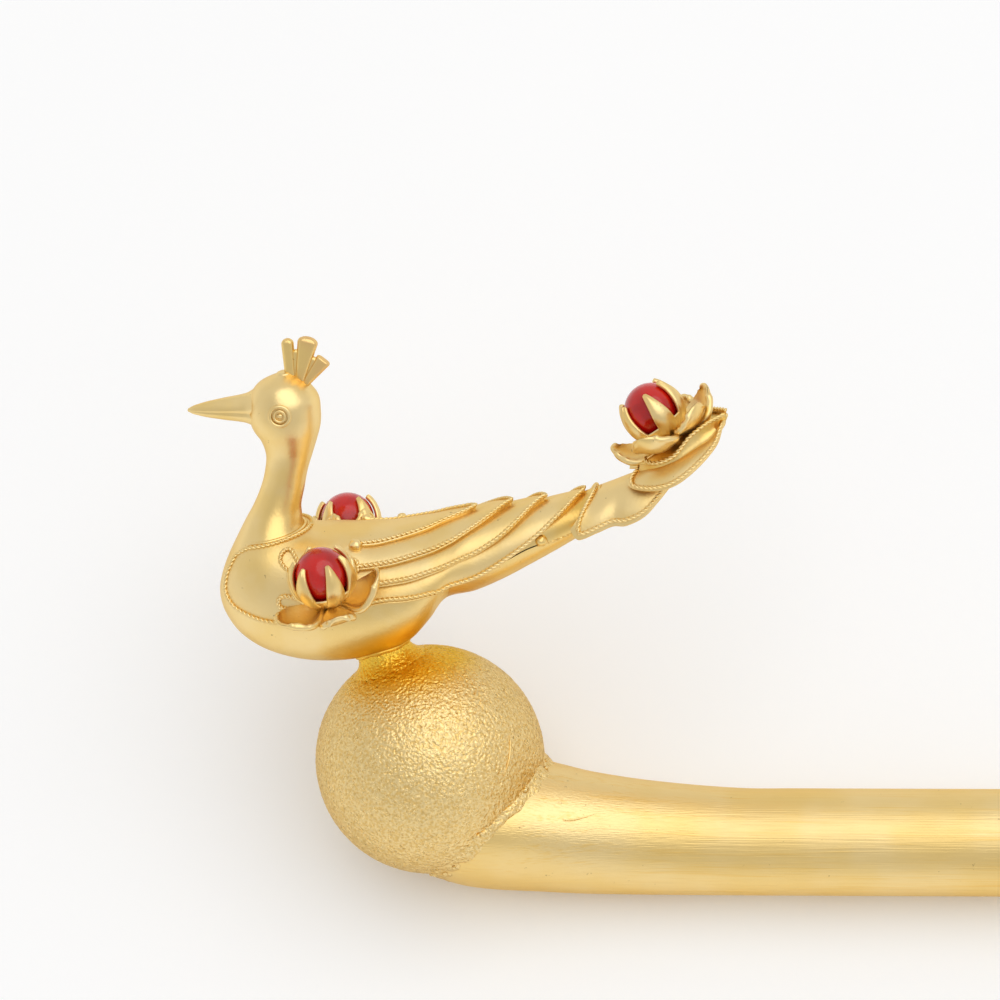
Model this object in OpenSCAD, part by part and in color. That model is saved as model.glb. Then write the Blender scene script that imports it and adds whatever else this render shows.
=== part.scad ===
// A binyeo: a long hairpin with a frosted ball and a bird at its head.
// The pin's own frame has its origin at the ball's centre, +X along the shank to the tip, +Y up through
// the bird and +Z out of the bird's left side. At rest the pin lies on its side, on the ball and the shank.

/* [Shank] */
// Radius of the round shank, which goes into the hair
shank_r = 2.7; // [2.5:0.05:2.75]
// Distance of the shank's tip from the ball's centre
tip_x = 172; // [150:1:180]
// Length of the pointed tip
tip_len = 4.5; // [3:0.5:8]
// Distance of the shank's axis below the ball's centre
shank_drop = 4.35; // [4.3:0.05:4.6]

/* [Ball] */
// Radius of the frosted ball
ball_r = 5.775; // [5.6:0.025:5.8]

/* [Flowers] */
// Radius of a coral bead
bead_r = 1.35; // [1.2:0.05:1.4]
// Thickness of the claws and petals
leaf_t = 0.2; // [0.15:0.05:0.25]

/* [Plates] */
// Height of the wing plate's upper side above the body
wing_top = 0.35; // [0.3:0.05:0.4]
// Height of the step between two rows of feathers
feather_step = 0.17; // [0.1:0.01:0.2]
// Thickness of the tail's plates
plate_t = 0.24; // [0.2:0.02:0.26]

/* [Fit] */
// Gap left between pieces that are joined with solder
gap = 0.04; // [0.02:0.01:0.06]

/* [Hidden] */

GOLD = [0.87, 0.73, 0.42];
PALE_GOLD = [0.91, 0.80, 0.52];
DEEP_GOLD = [0.84, 0.64, 0.30];
CORAL = [0.75, 0.12, 0.14];

// The flared root of the shank, cut obliquely by the ball. Each section is widest at side_y. Its upper half
// is an ellipse. Its lower quarters are flatter, the more so the lower the power, to clear the floor.
// x, top_y, side_y, bottom_y, half_width, power
ROOT = [
    [ 0.30,  0.45, -2.60, -5.95, 3.45, 1.90],
    [ 0.80,  0.35, -2.60, -6.35, 3.75, 1.80],
    [ 1.60,  0.22, -2.65, -6.62, 4.00, 1.70],
    [ 2.40,  0.18, -2.75, -6.76, 4.10, 1.65],
    [ 3.30,  0.13, -2.85, -6.85, 4.05, 1.65],
    [ 4.30,  0.00, -2.95, -6.90, 3.88, 1.67],
    [ 5.30, -0.18, -3.10, -6.94, 3.62, 1.70],
    [ 6.60, -0.47, -3.40, -6.99, 3.30, 1.80],
    [ 8.20, -0.83, -3.70, -7.04, 3.02, 1.85],
    [10.70, -1.21, -4.03, -7.06, 2.82, 1.90],
    [13.50, -1.49, -4.27, -7.06, 2.70, 1.95],
    [16.00, -1.65, -4.35, -7.05, 2.69, 2.00],
    [18.00, -1.67, -4.35, -7.03, 2.68, 2.00]
];
root_sides = 40;
root_rings = 24;
straight_x = 16.5;

// The bird's skin. Each row is an oval section from the crown over the neck to the wing tips.
// front_x, front_y on the throat, breast or belly; back_x, back_y on the nape or back; half_w
SKIN = [
    [ -6.90, 20.30, -6.10, 20.35, 0.45],
    [ -7.85, 19.80, -5.45, 19.90, 1.30],
    [ -8.30, 19.10, -4.85, 19.15, 1.70],
    [ -8.40, 18.30, -4.75, 18.30, 1.78],
    [ -8.20, 17.50, -4.80, 17.60, 1.65],
    [ -7.80, 16.85, -5.00, 16.90, 1.40],
    [ -7.60, 16.10, -5.25, 16.15, 1.18],
    [ -7.70, 15.25, -5.55, 15.25, 1.10],
    [ -7.95, 14.40, -5.75, 14.35, 1.12],
    [ -8.35, 13.50, -5.95, 13.50, 1.30],
    [ -8.75, 12.80, -5.95, 12.95, 1.55],
    [ -9.20, 11.95, -5.90, 12.45, 1.95],
    [ -9.70, 10.95, -5.65, 12.20, 2.45],
    [-10.10,  9.90, -5.00, 12.15, 2.75],
    [-10.25,  8.95, -4.10, 12.20, 2.95],
    [-10.00,  7.90, -3.25, 12.20, 3.10],
    [ -9.25,  6.80, -2.40, 12.25, 3.22],
    [ -7.95,  5.95, -1.60, 12.25, 3.28],
    [ -6.15,  5.45, -0.80, 12.35, 3.27],
    [ -4.15,  5.40, -0.05, 12.45, 3.20],
    [ -2.20,  5.75,  0.65, 12.55, 3.08],
    [ -0.70,  6.45,  1.30, 12.70, 2.90],
    [  0.33,  7.52,  2.05, 12.85, 2.65],
    [  1.25,  8.68,  2.85, 13.00, 2.40],
    [  2.75,  9.05,  3.85, 13.15, 2.12],
    [  4.25,  9.70,  5.00, 13.30, 1.88],
    [  5.65, 10.45,  6.15, 13.45, 1.65],
    [  6.90, 11.15,  7.30, 13.65, 1.45],
    [  8.00, 11.80,  8.35, 13.90, 1.28]
];
body_end = 23;
skin_sides = 24;
// Section numbers of the body's rings, and the rings that close it behind
BODY_RINGS = [for (i = [0:2 * body_end]) i / 2];
// section, part of the full size
BODY_CLOSE = [[23, 0.84], [23.4, 0.7], [23.7, 0.4]];

// The wing plate's lines, from the back down. Each row is a section number and the angle from the ridge.
LINE_1 = [[11, 40], [15.8, 35], [18.2, 27], [20.2, 18], [22.9, 0], [25, -24], [28, -60]];
LINE_2 = [
    [11, 66], [15.8, 60], [17.1, 52], [19, 49], [21.8, 50], [23.8, 37], [24.8, 0], [26.5, -45], [28, -70]
];
LINE_3 = [
    [11, 84], [17.3, 67], [18.8, 65], [22.3, 77], [24.3, 72], [25.7, 46], [26.4, 0], [27.4, -55], [28, -80]
];
LINE_4 = [
    [11, 108], [11.3, 122], [12.1, 133], [13.2, 136], [14.4, 131], [15.3, 123], [16.2, 114], [17.5, 92],
    [18.9, 83], [20, 83], [21.5, 95], [22.8, 113], [24.5, 105], [26.2, 81], [27.1, 54], [27.7, 25], [28, 6]
];
// Height of the wing plate's lower side above the body
wing_low = 0.1;
WING_START = 11.25;
WING_END = 28;
wing_stations = 24;
// Where the steps between the feathers begin to show, and over how many sections they grow
step_start = 15.3;
step_grow = 1.2;
// Least angle between two lines at the ridge, and the width of a step's wall
line_min = 1.5;
wall_angle = 0.5;

// The trough under the wings, from the belly to the tail: section number, angle of its upper edge
RUMP_EDGE = [[23.05, 108], [24.5, 108], [26, 100], [27, 108], [28, 112]];
rump_t = 0.25;
rump_stations = 9;
rump_columns = 12;

// The tail's arched plates. ridge_x, ridge_y, edge_x, edge_y, half_w of each row
TAIL_PLATE = [
    [ 8.95, 14.30,  7.85, 12.75, 2.00],
    [ 9.30, 14.45,  8.25, 12.30, 2.15],
    [ 9.75, 14.62,  9.20, 12.65, 2.10],
    [10.30, 14.85,  9.95, 13.15, 1.85],
    [10.75, 15.02, 10.70, 13.10, 2.05],
    [11.30, 15.18, 11.65, 13.65, 2.00],
    [12.00, 15.48, 12.40, 14.30, 1.70],
    [12.70, 15.84, 12.95, 14.95, 1.30]
];
TAIL_LEAF = [
    [11.25, 15.50, 10.40, 15.20, 1.20],
    [11.65, 15.72, 11.10, 14.90, 2.00],
    [12.30, 16.07, 12.30, 14.95, 2.50],
    [12.95, 16.42, 13.40, 15.35, 2.60],
    [13.75, 16.87, 14.50, 16.20, 2.30],
    [14.50, 17.25, 15.32, 17.12, 1.80],
    [15.20, 17.58, 15.53, 17.75, 1.00],
    [15.45, 17.70, 15.57, 17.85, 0.35]
];
TAIL_DISC = [
    [11.88, 16.20, 11.42, 16.10, 0.90],
    [12.35, 16.46, 12.42, 16.25, 1.50],
    [12.92, 16.78, 13.35, 16.90, 1.75],
    [13.54, 17.14, 14.00, 17.45, 1.55],
    [14.27, 17.52, 14.75, 17.82, 1.30],
    [14.99, 17.86, 15.25, 18.12, 0.80],
    [15.45, 18.06, 15.62, 18.20, 0.35]
];
tail_columns = 12;
disc_stations = 12;

// Flowers: where each bead's centre is, and the direction that its flower opens to
SIDE_BEAD = [-4.35, 11.25, 4.55];
SIDE_AXIS = [-0.15, 0.96, 0.25];
TAIL_BEAD = [11.9, 18.4, 0];
TAIL_AXIS = [-0.57, 0.82, 0];

// Claws as rows up a bead: latitude, half width in degrees of longitude, distance off the bead
CLAW = [[-58, 24, 0.13], [-36, 22, 0.13], [-10, 17, 0.07], [12, 12, 0.04], [28, 7, 0.03], [38, 2, 0.03]];
claw_round = 0.05;
// Where each claw stands round its bead
side_claws = [30, 96, 145, 208, 258, 310];
tail_claws = [18, 78, 135, 205, 262, 320];
// The cup below them: its own distance off the bead, the latitudes where its bowl ends, its foot
cup_gap = 0.03;
cup_low = -88;
cup_high = -32;
cup_sides = 24;
foot_r = 0.6;
foot_top = -1.42;
foot_low = -2.02;
// Petals as rows outwards: distance from the flower's axis, height, half width
OPEN_PETAL = [
    [0.45, -1.90, 0.14], [0.80, -1.92, 0.30], [1.30, -1.88, 0.54], [1.80, -1.74, 0.76],
    [2.30, -1.42, 0.90], [2.64, -1.02, 0.70], [2.80, -0.60, 0.34]
];
CLOSED_PETAL = [
    [0.45, -1.90, 0.14], [0.80, -1.90, 0.30], [1.30, -1.72, 0.52], [1.74, -1.28, 0.66],
    [1.96, -0.65, 0.66], [1.96, -0.05, 0.48], [1.82, 0.40, 0.20]
];
// How far a petal's edges rise above its middle, and how far they turn inwards, as parts of its half width
petal_cup = 0.35;
petal_round = 0.35;
// Where each petal stands: open and closed ones
side_open = [137, 197, 257];
side_closed = [75, 315];
tail_open = [35, 95, 155, 215, 275, 335];

// Beak, eyes and crest
BEAK_ROOT = [-8.30, 18.50];
BEAK_TIP = [-11.40, 18.40];
// part of the beak's length from the root, radius
BEAK = [[-0.08, 0.66], [0.05, 0.72], [0.20, 0.62], [0.45, 0.45], [0.75, 0.27], [0.93, 0.17], [1.0, 0.06]];
EYE = [-6.54, 18.62];
eye_side = 1.87;
eye_ring_r = 0.46;
eye_wire_r = 0.1;
crest_t = 0.55;
CREST_LEFT = [[-6.45, 20.25], [-6.70, 21.85], [-6.35, 22.12], [-5.97, 21.96], [-6.00, 20.20]];
CREST_MIDDLE = [[-6.10, 20.20], [-5.77, 22.07], [-5.13, 22.28], [-4.74, 21.91], [-5.55, 20.00]];
CREST_RIGHT = [[-5.65, 20.10], [-4.72, 21.24], [-4.27, 20.91], [-4.33, 20.65], [-5.30, 19.85]];

// How the pin lies: the roll at which the ball's side and the whole shank touch the floor
lean = acos((ball_r - shank_r) / shank_drop);
beak_x = BEAK_TIP[0];
mid_x = (beak_x + tip_x) / 2;
low_y = -ball_r;
high_y = CREST_MIDDLE[2][1] * sin(lean) + crest_t / 2 * cos(lean);
mid_y = (low_y + high_y) / 2;

module lying() {
    translate([-mid_x, -mid_y, ball_r]) rotate([90 - lean, 0, 0]) children();
}

// A point on a smooth curve through the middle two of four rows
function curve(a, b, c, d, t) =
    0.5 * (2 * b + (c - a) * t + (2 * a - 5 * b + 4 * c - d) * t * t + (3 * b - a - 3 * c + d) * t * t * t);

// A table's row at any place between its rows
function row(table, s) =
    let (
        last = len(table) - 1,
        i = min(max(floor(s), 0), last - 1)
    )
    curve(table[max(i - 1, 0)], table[i], table[i + 1], table[min(i + 2, last)], s - i);

// A point of the skin at section s, at an angle from the ridge of the back, raised above the skin by lift
function skin(s, angle, lift) =
    let (
        r = row(SKIN, s),
        front = [r[0], r[1]],
        back = [r[2], r[3]],
        centre = (front + back) / 2,
        half = norm(front - back) / 2,
        along = (front - back) / (2 * half),
        p = centre - along * (half + lift) * cos(angle)
    )
    [p[0], p[1], (r[4] + lift) * sin(angle)];

function skin_ring(s, size) =
    let (
        ring = [for (j = [0:skin_sides - 1]) skin(s, 360 * j / skin_sides, 0)],
        centre = (ring[0] + ring[skin_sides / 2]) / 2
    )
    [for (p = ring) centre + (p - centre) * size];

// A closed solid through rings of the same number of points
module rings_solid(rings) {
    n = len(rings[0]);
    last = len(rings) - 1;
    points = [for (ring = rings) each ring];
    sides = [
        for (i = [0:last - 1], j = [0:n - 1])
            let (a = i * n + j, b = i * n + (j + 1) % n)
            each [[a, a + n, b + n], [a, b + n, b]]
    ];
    caps = [[for (j = [0:n - 1]) j], [for (j = [n - 1:-1:0]) last * n + j]];
    polyhedron(points, concat(sides, caps));
}

// A thin closed sheet between two grids of points of the same size
module sheet(outer, inner) {
    rows = len(outer);
    cols = len(outer[0]);
    n = rows * cols;
    points = concat([for (line = outer) each line], [for (line = inner) each line]);
    skins = [
        for (i = [0:rows - 2], j = [0:cols - 2])
            let (a = i * cols + j, b = a + 1, c = a + cols, d = c + 1)
            each [[a, d, b], [a, c, d], [n + a, n + b, n + d], [n + a, n + d, n + c]]
    ];
    ends = [
        for (j = [0:cols - 2])
            let (a = j, b = (rows - 1) * cols + j)
            each [[a, n + a + 1, n + a], [a, a + 1, n + a + 1], [b, n + b, n + b + 1], [b, n + b + 1, b + 1]]
    ];
    edges = [
        for (i = [0:rows - 2])
            let (a = i * cols, b = a + cols - 1)
            each [
                [a, n + a, n + a + cols], [a, n + a + cols, a + cols],
                [b, n + b + cols, n + b], [b, b + cols, n + b + cols]
            ]
    ];
    polyhedron(points, concat(skins, ends, edges));
}

// Height of the wing plate at section s and an angle from the ridge: each row of feathers rises to its edge
function row_part(angle, upper, lower) = min(max((angle - upper) / (lower - upper), 0), 1);
function wing_lift(s, angle) =
    let (
        l1 = lookup(s, LINE_1),
        l2 = lookup(s, LINE_2),
        l3 = lookup(s, LINE_3),
        l4 = lookup(s, LINE_4),
        grown = min(max((s - step_start) / step_grow, 0), 1),
        part = angle <= l1 ? 1
            : angle <= l2 ? row_part(angle, l1, l2)
            : angle <= l3 ? row_part(angle, l2, l3)
            : row_part(angle, l3, l4)
    )
    wing_top - feather_step * grown * (1 - part);

// Angles of the wing plate's columns on one side, from the ridge to the edge
function wing_angles(s) =
    let (
        a1 = max(lookup(s, LINE_1), line_min),
        a2 = max(lookup(s, LINE_2), 2 * line_min),
        a3 = max(lookup(s, LINE_3), 3 * line_min),
        a4 = max(lookup(s, LINE_4), 4 * line_min),
        w = wall_angle
    )
    [
        a1 / 2, a1,
        a1 + w, (a1 + w + a2) / 2, a2,
        a2 + w, (a2 + w + a3) / 2, a3,
        a3 + w, a3 + w + (a4 - a3 - w) / 3, a3 + w + (a4 - a3 - w) * 2 / 3, a4
    ];

function mirrored(list) = concat([for (i = [len(list) - 1:-1:0]) -list[i]], [0], list);

// An arched grid over a tail table: columns run from one edge over the ridge to the other
function arch(table, s, q, lower) =
    let (
        r = row(table, s),
        ridge = [r[0], r[1] - lower],
        edge = [r[2], r[3] - lower / 2],
        p = ridge + (edge - ridge) * (1 - cos(90 * q))
    )
    [p[0], p[1], (r[4] - (q == 0 ? 0 : lower)) * sin(90 * q)];
function arch_grid(table, stations, lower) =
    [
        for (i = [0:stations])
            let (s = (len(table) - 1) * i / stations)
            [for (j = [-tail_columns / 2:tail_columns / 2]) arch_side(table, s, j, lower)]
    ];
function arch_side(table, s, j, lower) =
    let (p = arch(table, s, abs(j) * 2 / tail_columns, lower))
    [p[0], p[1], sign(j) * p[2]];

// A point of a root section, at an angle from its top
function root_point(r, a) =
    let (
        c = cos(a),
        flat = c >= 0 ? 1 : pow(pow(abs(c), r[5]) + pow(abs(sin(a)), r[5]), -1 / r[5])
    )
    [r[0], r[2] + flat * c * (c >= 0 ? r[1] - r[2] : r[2] - r[3]), flat * r[4] * sin(a)];

module shank() {
    last = len(ROOT) - 1;
    color(PALE_GOLD) difference() {
        union() {
            rings_solid([
                for (i = [0:root_rings])
                    let (r = row(ROOT, last * i / root_rings))
                    [for (j = [0:root_sides - 1]) root_point(r, 360 * (j + 0.5) / root_sides)]
            ]);
            translate([straight_x, -shank_drop, 0]) rotate([0, 90, 0])
                cylinder(h = tip_x - tip_len - straight_x, r = shank_r, $fn = 96);
            translate([tip_x - tip_len, -shank_drop, 0]) rotate([0, 90, 0]) tip();
        }
        sphere(r = ball_r + gap, $fn = 96);
    }
}

// The pointed end: full width at first, then tapering to a point
module tip() {
    steps = 9;
    power = 2.2;
    rotate_extrude($fn = 96) polygon(concat(
        [[0, 0]],
        [for (i = [0:steps - 1]) let (t = i / steps) [shank_r * (1 - pow(t, power)), tip_len * t]],
        [[0, tip_len]]
    ));
}

module ball() {
    color(GOLD) sphere(r = ball_r, $fn = 96);
}

// The body, neck and head, with the foot that is soldered to the ball
module bird_body() {
    foot_tilt = 20;
    // radius and height of the foot above the ball's centre, flaring down to the ball
    foot = [
        [0, ball_r - 0.6], [2.0, ball_r - 0.6], [1.72, ball_r - 0.22], [1.5, ball_r],
        [1.38, ball_r + 0.3], [1.36, ball_r + 1.1], [0, ball_r + 1.1]
    ];
    color(PALE_GOLD) difference() {
        union() {
            rings_solid(concat(
                [for (s = BODY_RINGS) skin_ring(s, 1)],
                [for (c = BODY_CLOSE) skin_ring(c[0], c[1])]
            ));
            rotate([0, 0, foot_tilt]) rotate([-90, 0, 0]) rotate_extrude($fn = 48) polygon(foot);
        }
        sphere(r = ball_r + gap, $fn = 96);
    }
}

// The head with the gap round it, to cut the pieces that are soldered to it
module head_space() {
    sections = [0, 0.5, 1, 1.5, 2, 2.5, 3, 3.5, 4, 4.5, 5, 6, 7];
    top = [for (j = [0:skin_sides - 1]) skin(0, 360 * j / skin_sides, gap) + [0, gap, 0]];
    rings_solid(concat(
        [top],
        [for (s = sections) [for (j = [0:skin_sides - 1]) skin(s, 360 * j / skin_sides, gap)]]
    ));
}

module beak() {
    length = norm(BEAK_TIP - BEAK_ROOT);
    slope = atan2(BEAK_TIP[1] - BEAK_ROOT[1], BEAK_TIP[0] - BEAK_ROOT[0]);
    color(DEEP_GOLD) difference() {
        translate([BEAK_ROOT[0], BEAK_ROOT[1], 0]) rotate([0, 0, slope]) rotate([0, 90, 0])
            rotate_extrude($fn = 48) polygon(concat(
                [[0, BEAK[0][0] * length]],
                [for (b = BEAK) [b[1], b[0] * length]],
                [[0, length]]
            ));
        head_space();
    }
}

// An eye: an outer ring, an inner ring and a pupil, soldered to the side of the head
module eye(side) {
    inner_r = 0.24;
    pupil_r = 0.12;
    inner_wire_r = 0.08;
    color(GOLD) difference() {
        translate([EYE[0], EYE[1], side * eye_side]) {
            rotate_extrude($fn = 48) translate([eye_ring_r, 0]) circle(r = eye_wire_r, $fn = 24);
            translate([0, 0, -eye_wire_r / 2]) cylinder(h = eye_wire_r, r = eye_ring_r, $fn = 48);
            rotate_extrude($fn = 48) translate([inner_r, 0]) circle(r = inner_wire_r, $fn = 24);
            sphere(r = pupil_r, $fn = 24);
        }
        head_space();
    }
}

// Three flat bars that fan out of the crown
module crest() {
    side_t = 0.9 * crest_t;
    color(GOLD) difference() {
        union() {
            translate([0, 0, -crest_t / 2]) linear_extrude(crest_t) polygon(CREST_MIDDLE);
            translate([0, 0, -side_t / 2]) linear_extrude(side_t) polygon(CREST_LEFT);
            translate([0, 0, -side_t / 2]) linear_extrude(side_t) polygon(CREST_RIGHT);
        }
        head_space();
    }
}

// One plate over the back and shoulders, with four rows of stepped feathers on each side
module wing_plate() {
    stations = [for (i = [0:wing_stations]) WING_START + (WING_END - WING_START) * i / wing_stations];
    color(PALE_GOLD) sheet(
        [for (s = stations) [for (a = mirrored(wing_angles(s))) skin(s, a, wing_lift(s, abs(a)))]],
        [for (s = stations) [for (a = mirrored(wing_angles(s))) skin(s, a, wing_low)]]
    );
}

// The trough that closes the bird below the wings and carries the tail
module rump() {
    first = RUMP_EDGE[0][0];
    stations = [for (i = [0:rump_stations]) first + (WING_END - first) * i / rump_stations];
    function angles(s) =
        let (edge = lookup(s, RUMP_EDGE))
        [for (j = [0:rump_columns]) edge + (360 - 2 * edge) * j / rump_columns];
    color(DEEP_GOLD) sheet(
        [for (s = stations) [for (a = angles(s)) skin(s, a, 0)]],
        [for (s = stations) [for (a = angles(s)) skin(s, a, -rump_t)]]
    );
}

module tail_plate() {
    stations = 14;
    color(PALE_GOLD) sheet(arch_grid(TAIL_PLATE, stations, 0), arch_grid(TAIL_PLATE, stations, plate_t));
}

// The round leaf at the tail's end
module tail_leaf() {
    stations = 14;
    color(GOLD) sheet(arch_grid(TAIL_LEAF, stations, 0), arch_grid(TAIL_LEAF, stations, plate_t));
}

// The smaller leaf on it, which carries the flower
module tail_disc() {
    color(GOLD) sheet(arch_grid(TAIL_DISC, disc_stations, 0), arch_grid(TAIL_DISC, disc_stations, plate_t));
}

// Turns the flower's own axis, +Z, to a direction
module towards(axis) {
    rotate([0, acos(axis[2] / norm(axis)), atan2(axis[1], axis[0])]) children();
}

function on_bead(r, latitude, longitude) =
    [r * cos(latitude) * cos(longitude), r * cos(latitude) * sin(longitude), r * sin(latitude)];

module claw(turn) {
    sides = [-1, 0, 1];
    sheet(
        [for (c = CLAW) [for (k = sides)
            on_bead(bead_r + c[2] + leaf_t - abs(k) * claw_round, c[0], turn + k * c[1])]],
        [for (c = CLAW) [for (k = sides) on_bead(bead_r + c[2], c[0], turn + k * c[1])]]
    );
}

// A petal, hollow towards the bead
module petal(rows, turn) {
    last = len(rows) - 1;
    // Direction across the sheet at a row, towards the bead
    function inward(i) =
        let (d = rows[min(i + 1, last)] - rows[max(i - 1, 0)])
        [-d[1], d[0]] / norm([d[0], d[1]]);
    function side_point(i, k, t) =
        let (p = rows[i], n = inward(i) * t, half = abs(k) * p[2])
        [p[0] - half * petal_round + n[0], -k * p[2], p[1] + half * petal_cup + n[1]];
    function grid(t) = [for (i = [0:last]) [for (k = [-1:1]) side_point(i, k, t)]];
    rotate([0, 0, turn]) sheet(grid(leaf_t), grid(0));
}

// The cup under a bead: a bowl of revolution on a short foot
module cup() {
    near = bead_r + cup_gap;
    far = near + leaf_t;
    steps = 5;
    arc = [for (i = [0:steps]) cup_low + (cup_high - cup_low) * i / steps];
    rotate_extrude($fn = cup_sides) polygon(concat(
        [[0, -near]],
        [for (a = arc) [near * cos(a), near * sin(a)]],
        [for (i = [steps:-1:0]) [far * cos(arc[i]), far * sin(arc[i])]],
        [[0, -far]]
    ));
    translate([0, 0, foot_low]) cylinder(h = foot_top - foot_low, r = foot_r, $fn = cup_sides);
}

module setting(claws, open, closed) {
    cup();
    for (turn = claws) claw(turn);
    for (turn = open) petal(OPEN_PETAL, turn);
    for (turn = closed) petal(CLOSED_PETAL, turn);
}

// The side flower is cut to the wing plate that it is soldered to
module side_setting() {
    difference() {
        translate(SIDE_BEAD) towards(SIDE_AXIS) setting(side_claws, side_open, side_closed);
        rings_solid([for (s = [12:20]) [
            for (j = [0:skin_sides - 1]) skin(s, 360 * j / skin_sides, wing_top + gap)]]);
    }
}

module setting_left() {
    color(DEEP_GOLD) side_setting();
}

module setting_right() {
    color(DEEP_GOLD) mirror([0, 0, 1]) side_setting();
}

// The tail flower is cut to the leaf that it is soldered to
module setting_tail() {
    cut_depth = 1;
    leaf_top = arch_grid(TAIL_DISC, disc_stations, -gap);
    color(DEEP_GOLD) difference() {
        translate(TAIL_BEAD) towards(TAIL_AXIS) setting(tail_claws, tail_open, []);
        sheet(leaf_top, [for (line = leaf_top) [for (p = line) p - [0, cut_depth, 0]]]);
    }
}

module bead_left() {
    color(CORAL) translate(SIDE_BEAD) sphere(r = bead_r, $fn = 48);
}

module bead_right() {
    color(CORAL) translate([SIDE_BEAD[0], SIDE_BEAD[1], -SIDE_BEAD[2]]) sphere(r = bead_r, $fn = 48);
}

module bead_tail() {
    color(CORAL) translate(TAIL_BEAD) sphere(r = bead_r, $fn = 48);
}

lying() shank();
lying() ball();
lying() bird_body();
lying() beak();
lying() eye(1);  // eye_left
lying() eye(-1);  // eye_right
lying() crest();
lying() wing_plate();
lying() rump();
lying() tail_plate();
lying() tail_leaf();
lying() tail_disc();
lying() setting_left();
lying() setting_right();
lying() setting_tail();
lying() bead_left();
lying() bead_right();
lying() bead_tail();
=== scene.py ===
# %% [markdown]
# A binyeo hairpin
#
# A binyeo is a long Korean hairpin. This one is gilt metal: a straight shank with a pointed tip, a frosted
# ball at its head, and on the ball a bird with layered feathers, a tail and three flowers that hold coral
# beads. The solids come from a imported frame. This notebook gives them their looks: finer shapes built from
# short tables, twisted wire along the feathers, and gold finishes made of shader nodes.

# %% Load the frame
import math

import bpy
import numpy as np
from mathutils import Matrix, Vector, noise
from mathutils.bvhtree import BVHTree


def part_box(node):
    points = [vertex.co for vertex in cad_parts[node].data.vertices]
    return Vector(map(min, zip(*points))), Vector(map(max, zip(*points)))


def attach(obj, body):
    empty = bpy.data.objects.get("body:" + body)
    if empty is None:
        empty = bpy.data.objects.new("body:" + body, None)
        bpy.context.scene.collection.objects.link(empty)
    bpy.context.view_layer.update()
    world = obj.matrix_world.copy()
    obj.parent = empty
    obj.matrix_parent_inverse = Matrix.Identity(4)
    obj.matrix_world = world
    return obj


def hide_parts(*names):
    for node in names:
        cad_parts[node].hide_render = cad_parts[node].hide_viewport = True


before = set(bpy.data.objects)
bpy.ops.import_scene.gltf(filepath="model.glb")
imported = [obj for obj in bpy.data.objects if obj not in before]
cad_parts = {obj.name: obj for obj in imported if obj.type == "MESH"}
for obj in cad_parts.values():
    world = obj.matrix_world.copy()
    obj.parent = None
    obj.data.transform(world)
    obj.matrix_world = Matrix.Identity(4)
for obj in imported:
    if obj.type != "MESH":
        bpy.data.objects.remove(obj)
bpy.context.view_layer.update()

# %% [markdown]
# One frame for all pieces
#
# It is easiest to think of the pin as its maker does: the ball's centre is the origin, +X runs along the
# shank to the tip, +Y goes up through the bird and +Z comes out of the bird's left side, all in
# millimetres. At rest the pin has rolled over, so that the ball and the shank touch the floor. Each object
# could be turned by itself, but then each would need its own place. Instead one function turns the maker's
# millimetres into the frame's metres, and every mesh passes through it once.

# %% The pin's own frame
BALL_R = 5.775
SHANK_R = 2.7
SHANK_DROP = 4.35
BEAD_R = 1.35
LEAN = math.acos((BALL_R - SHANK_R) / SHANK_DROP)
MM = 0.001

ball_low, ball_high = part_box("ball")
BALL_AT = (np.array(ball_low) + np.array(ball_high)) / 2
TURN = np.array([
    (1, 0, 0),
    (0, math.sin(LEAN), -math.cos(LEAN)),
    (0, math.cos(LEAN), math.sin(LEAN)),
])


def to_world(points):
    """Points in the pin's own frame, in millimetres, as points of the frame, in metres."""
    return np.asarray(points, float) @ TURN.T * MM + BALL_AT


print("rolled by", round(math.degrees(LEAN), 2), "degrees, ball at", [round(v * 1000, 2) for v in BALL_AT])

# %% [markdown]
# Meshes from grids of points
#
# Blender's own primitives and modifiers could make rough forms, but these pieces follow measured curves.
# Almost every one is a grid of points: a body is a row of rings, a plate is two grids with a thin gap
# between them, a wire is a ring swept along a path. So a few helpers turn grids into closed meshes. A part
# is a pair: its points, and arrays of faces with three or four corners.

# %% Grids, lofts, sheets
UP = np.array([0.0, 1.0, 0.0])


def unit(v):
    """A vector's direction, one long."""
    v = np.asarray(v, float)
    return v / np.linalg.norm(v)


def cos_sin(degrees):
    """Cosines and sines of angles in degrees."""
    return np.cos(np.radians(degrees)), np.sin(np.radians(degrees))


def all_round(count):
    """Even steps once round, in degrees."""
    return np.linspace(0, 360, count, endpoint=False)


def cross_axes(axis):
    """Two unit directions across an axis."""
    axis = unit(axis)
    side = unit(np.cross(axis, (1, 0, 0) if abs(axis[0]) < 0.8 else UP))
    return side, np.cross(axis, side)


def circle(axis, count):
    """Points of the unit circle about an axis."""
    c, n = cos_sin(all_round(count))
    side, front = cross_axes(axis)
    return np.outer(c, side) + np.outer(n, front)


def quads(number):
    """Faces with four corners over a grid of point numbers."""
    corners = (number[:-1, :-1], number[:-1, 1:], number[1:, 1:], number[1:, :-1])
    return np.stack(corners, axis=-1).reshape(-1, 4)


def outward(points, faces):
    """The part with its faces turned so that they look outwards."""
    volume = 0.0
    for f in faces:
        for k in range(1, f.shape[1] - 1):
            a, b, c = points[f[:, 0]], points[f[:, k]], points[f[:, k + 1]]
            volume += np.einsum("ij,ij->", a, np.cross(b, c))
    return points, [f[:, ::-1] for f in faces] if volume < 0 else faces


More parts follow.
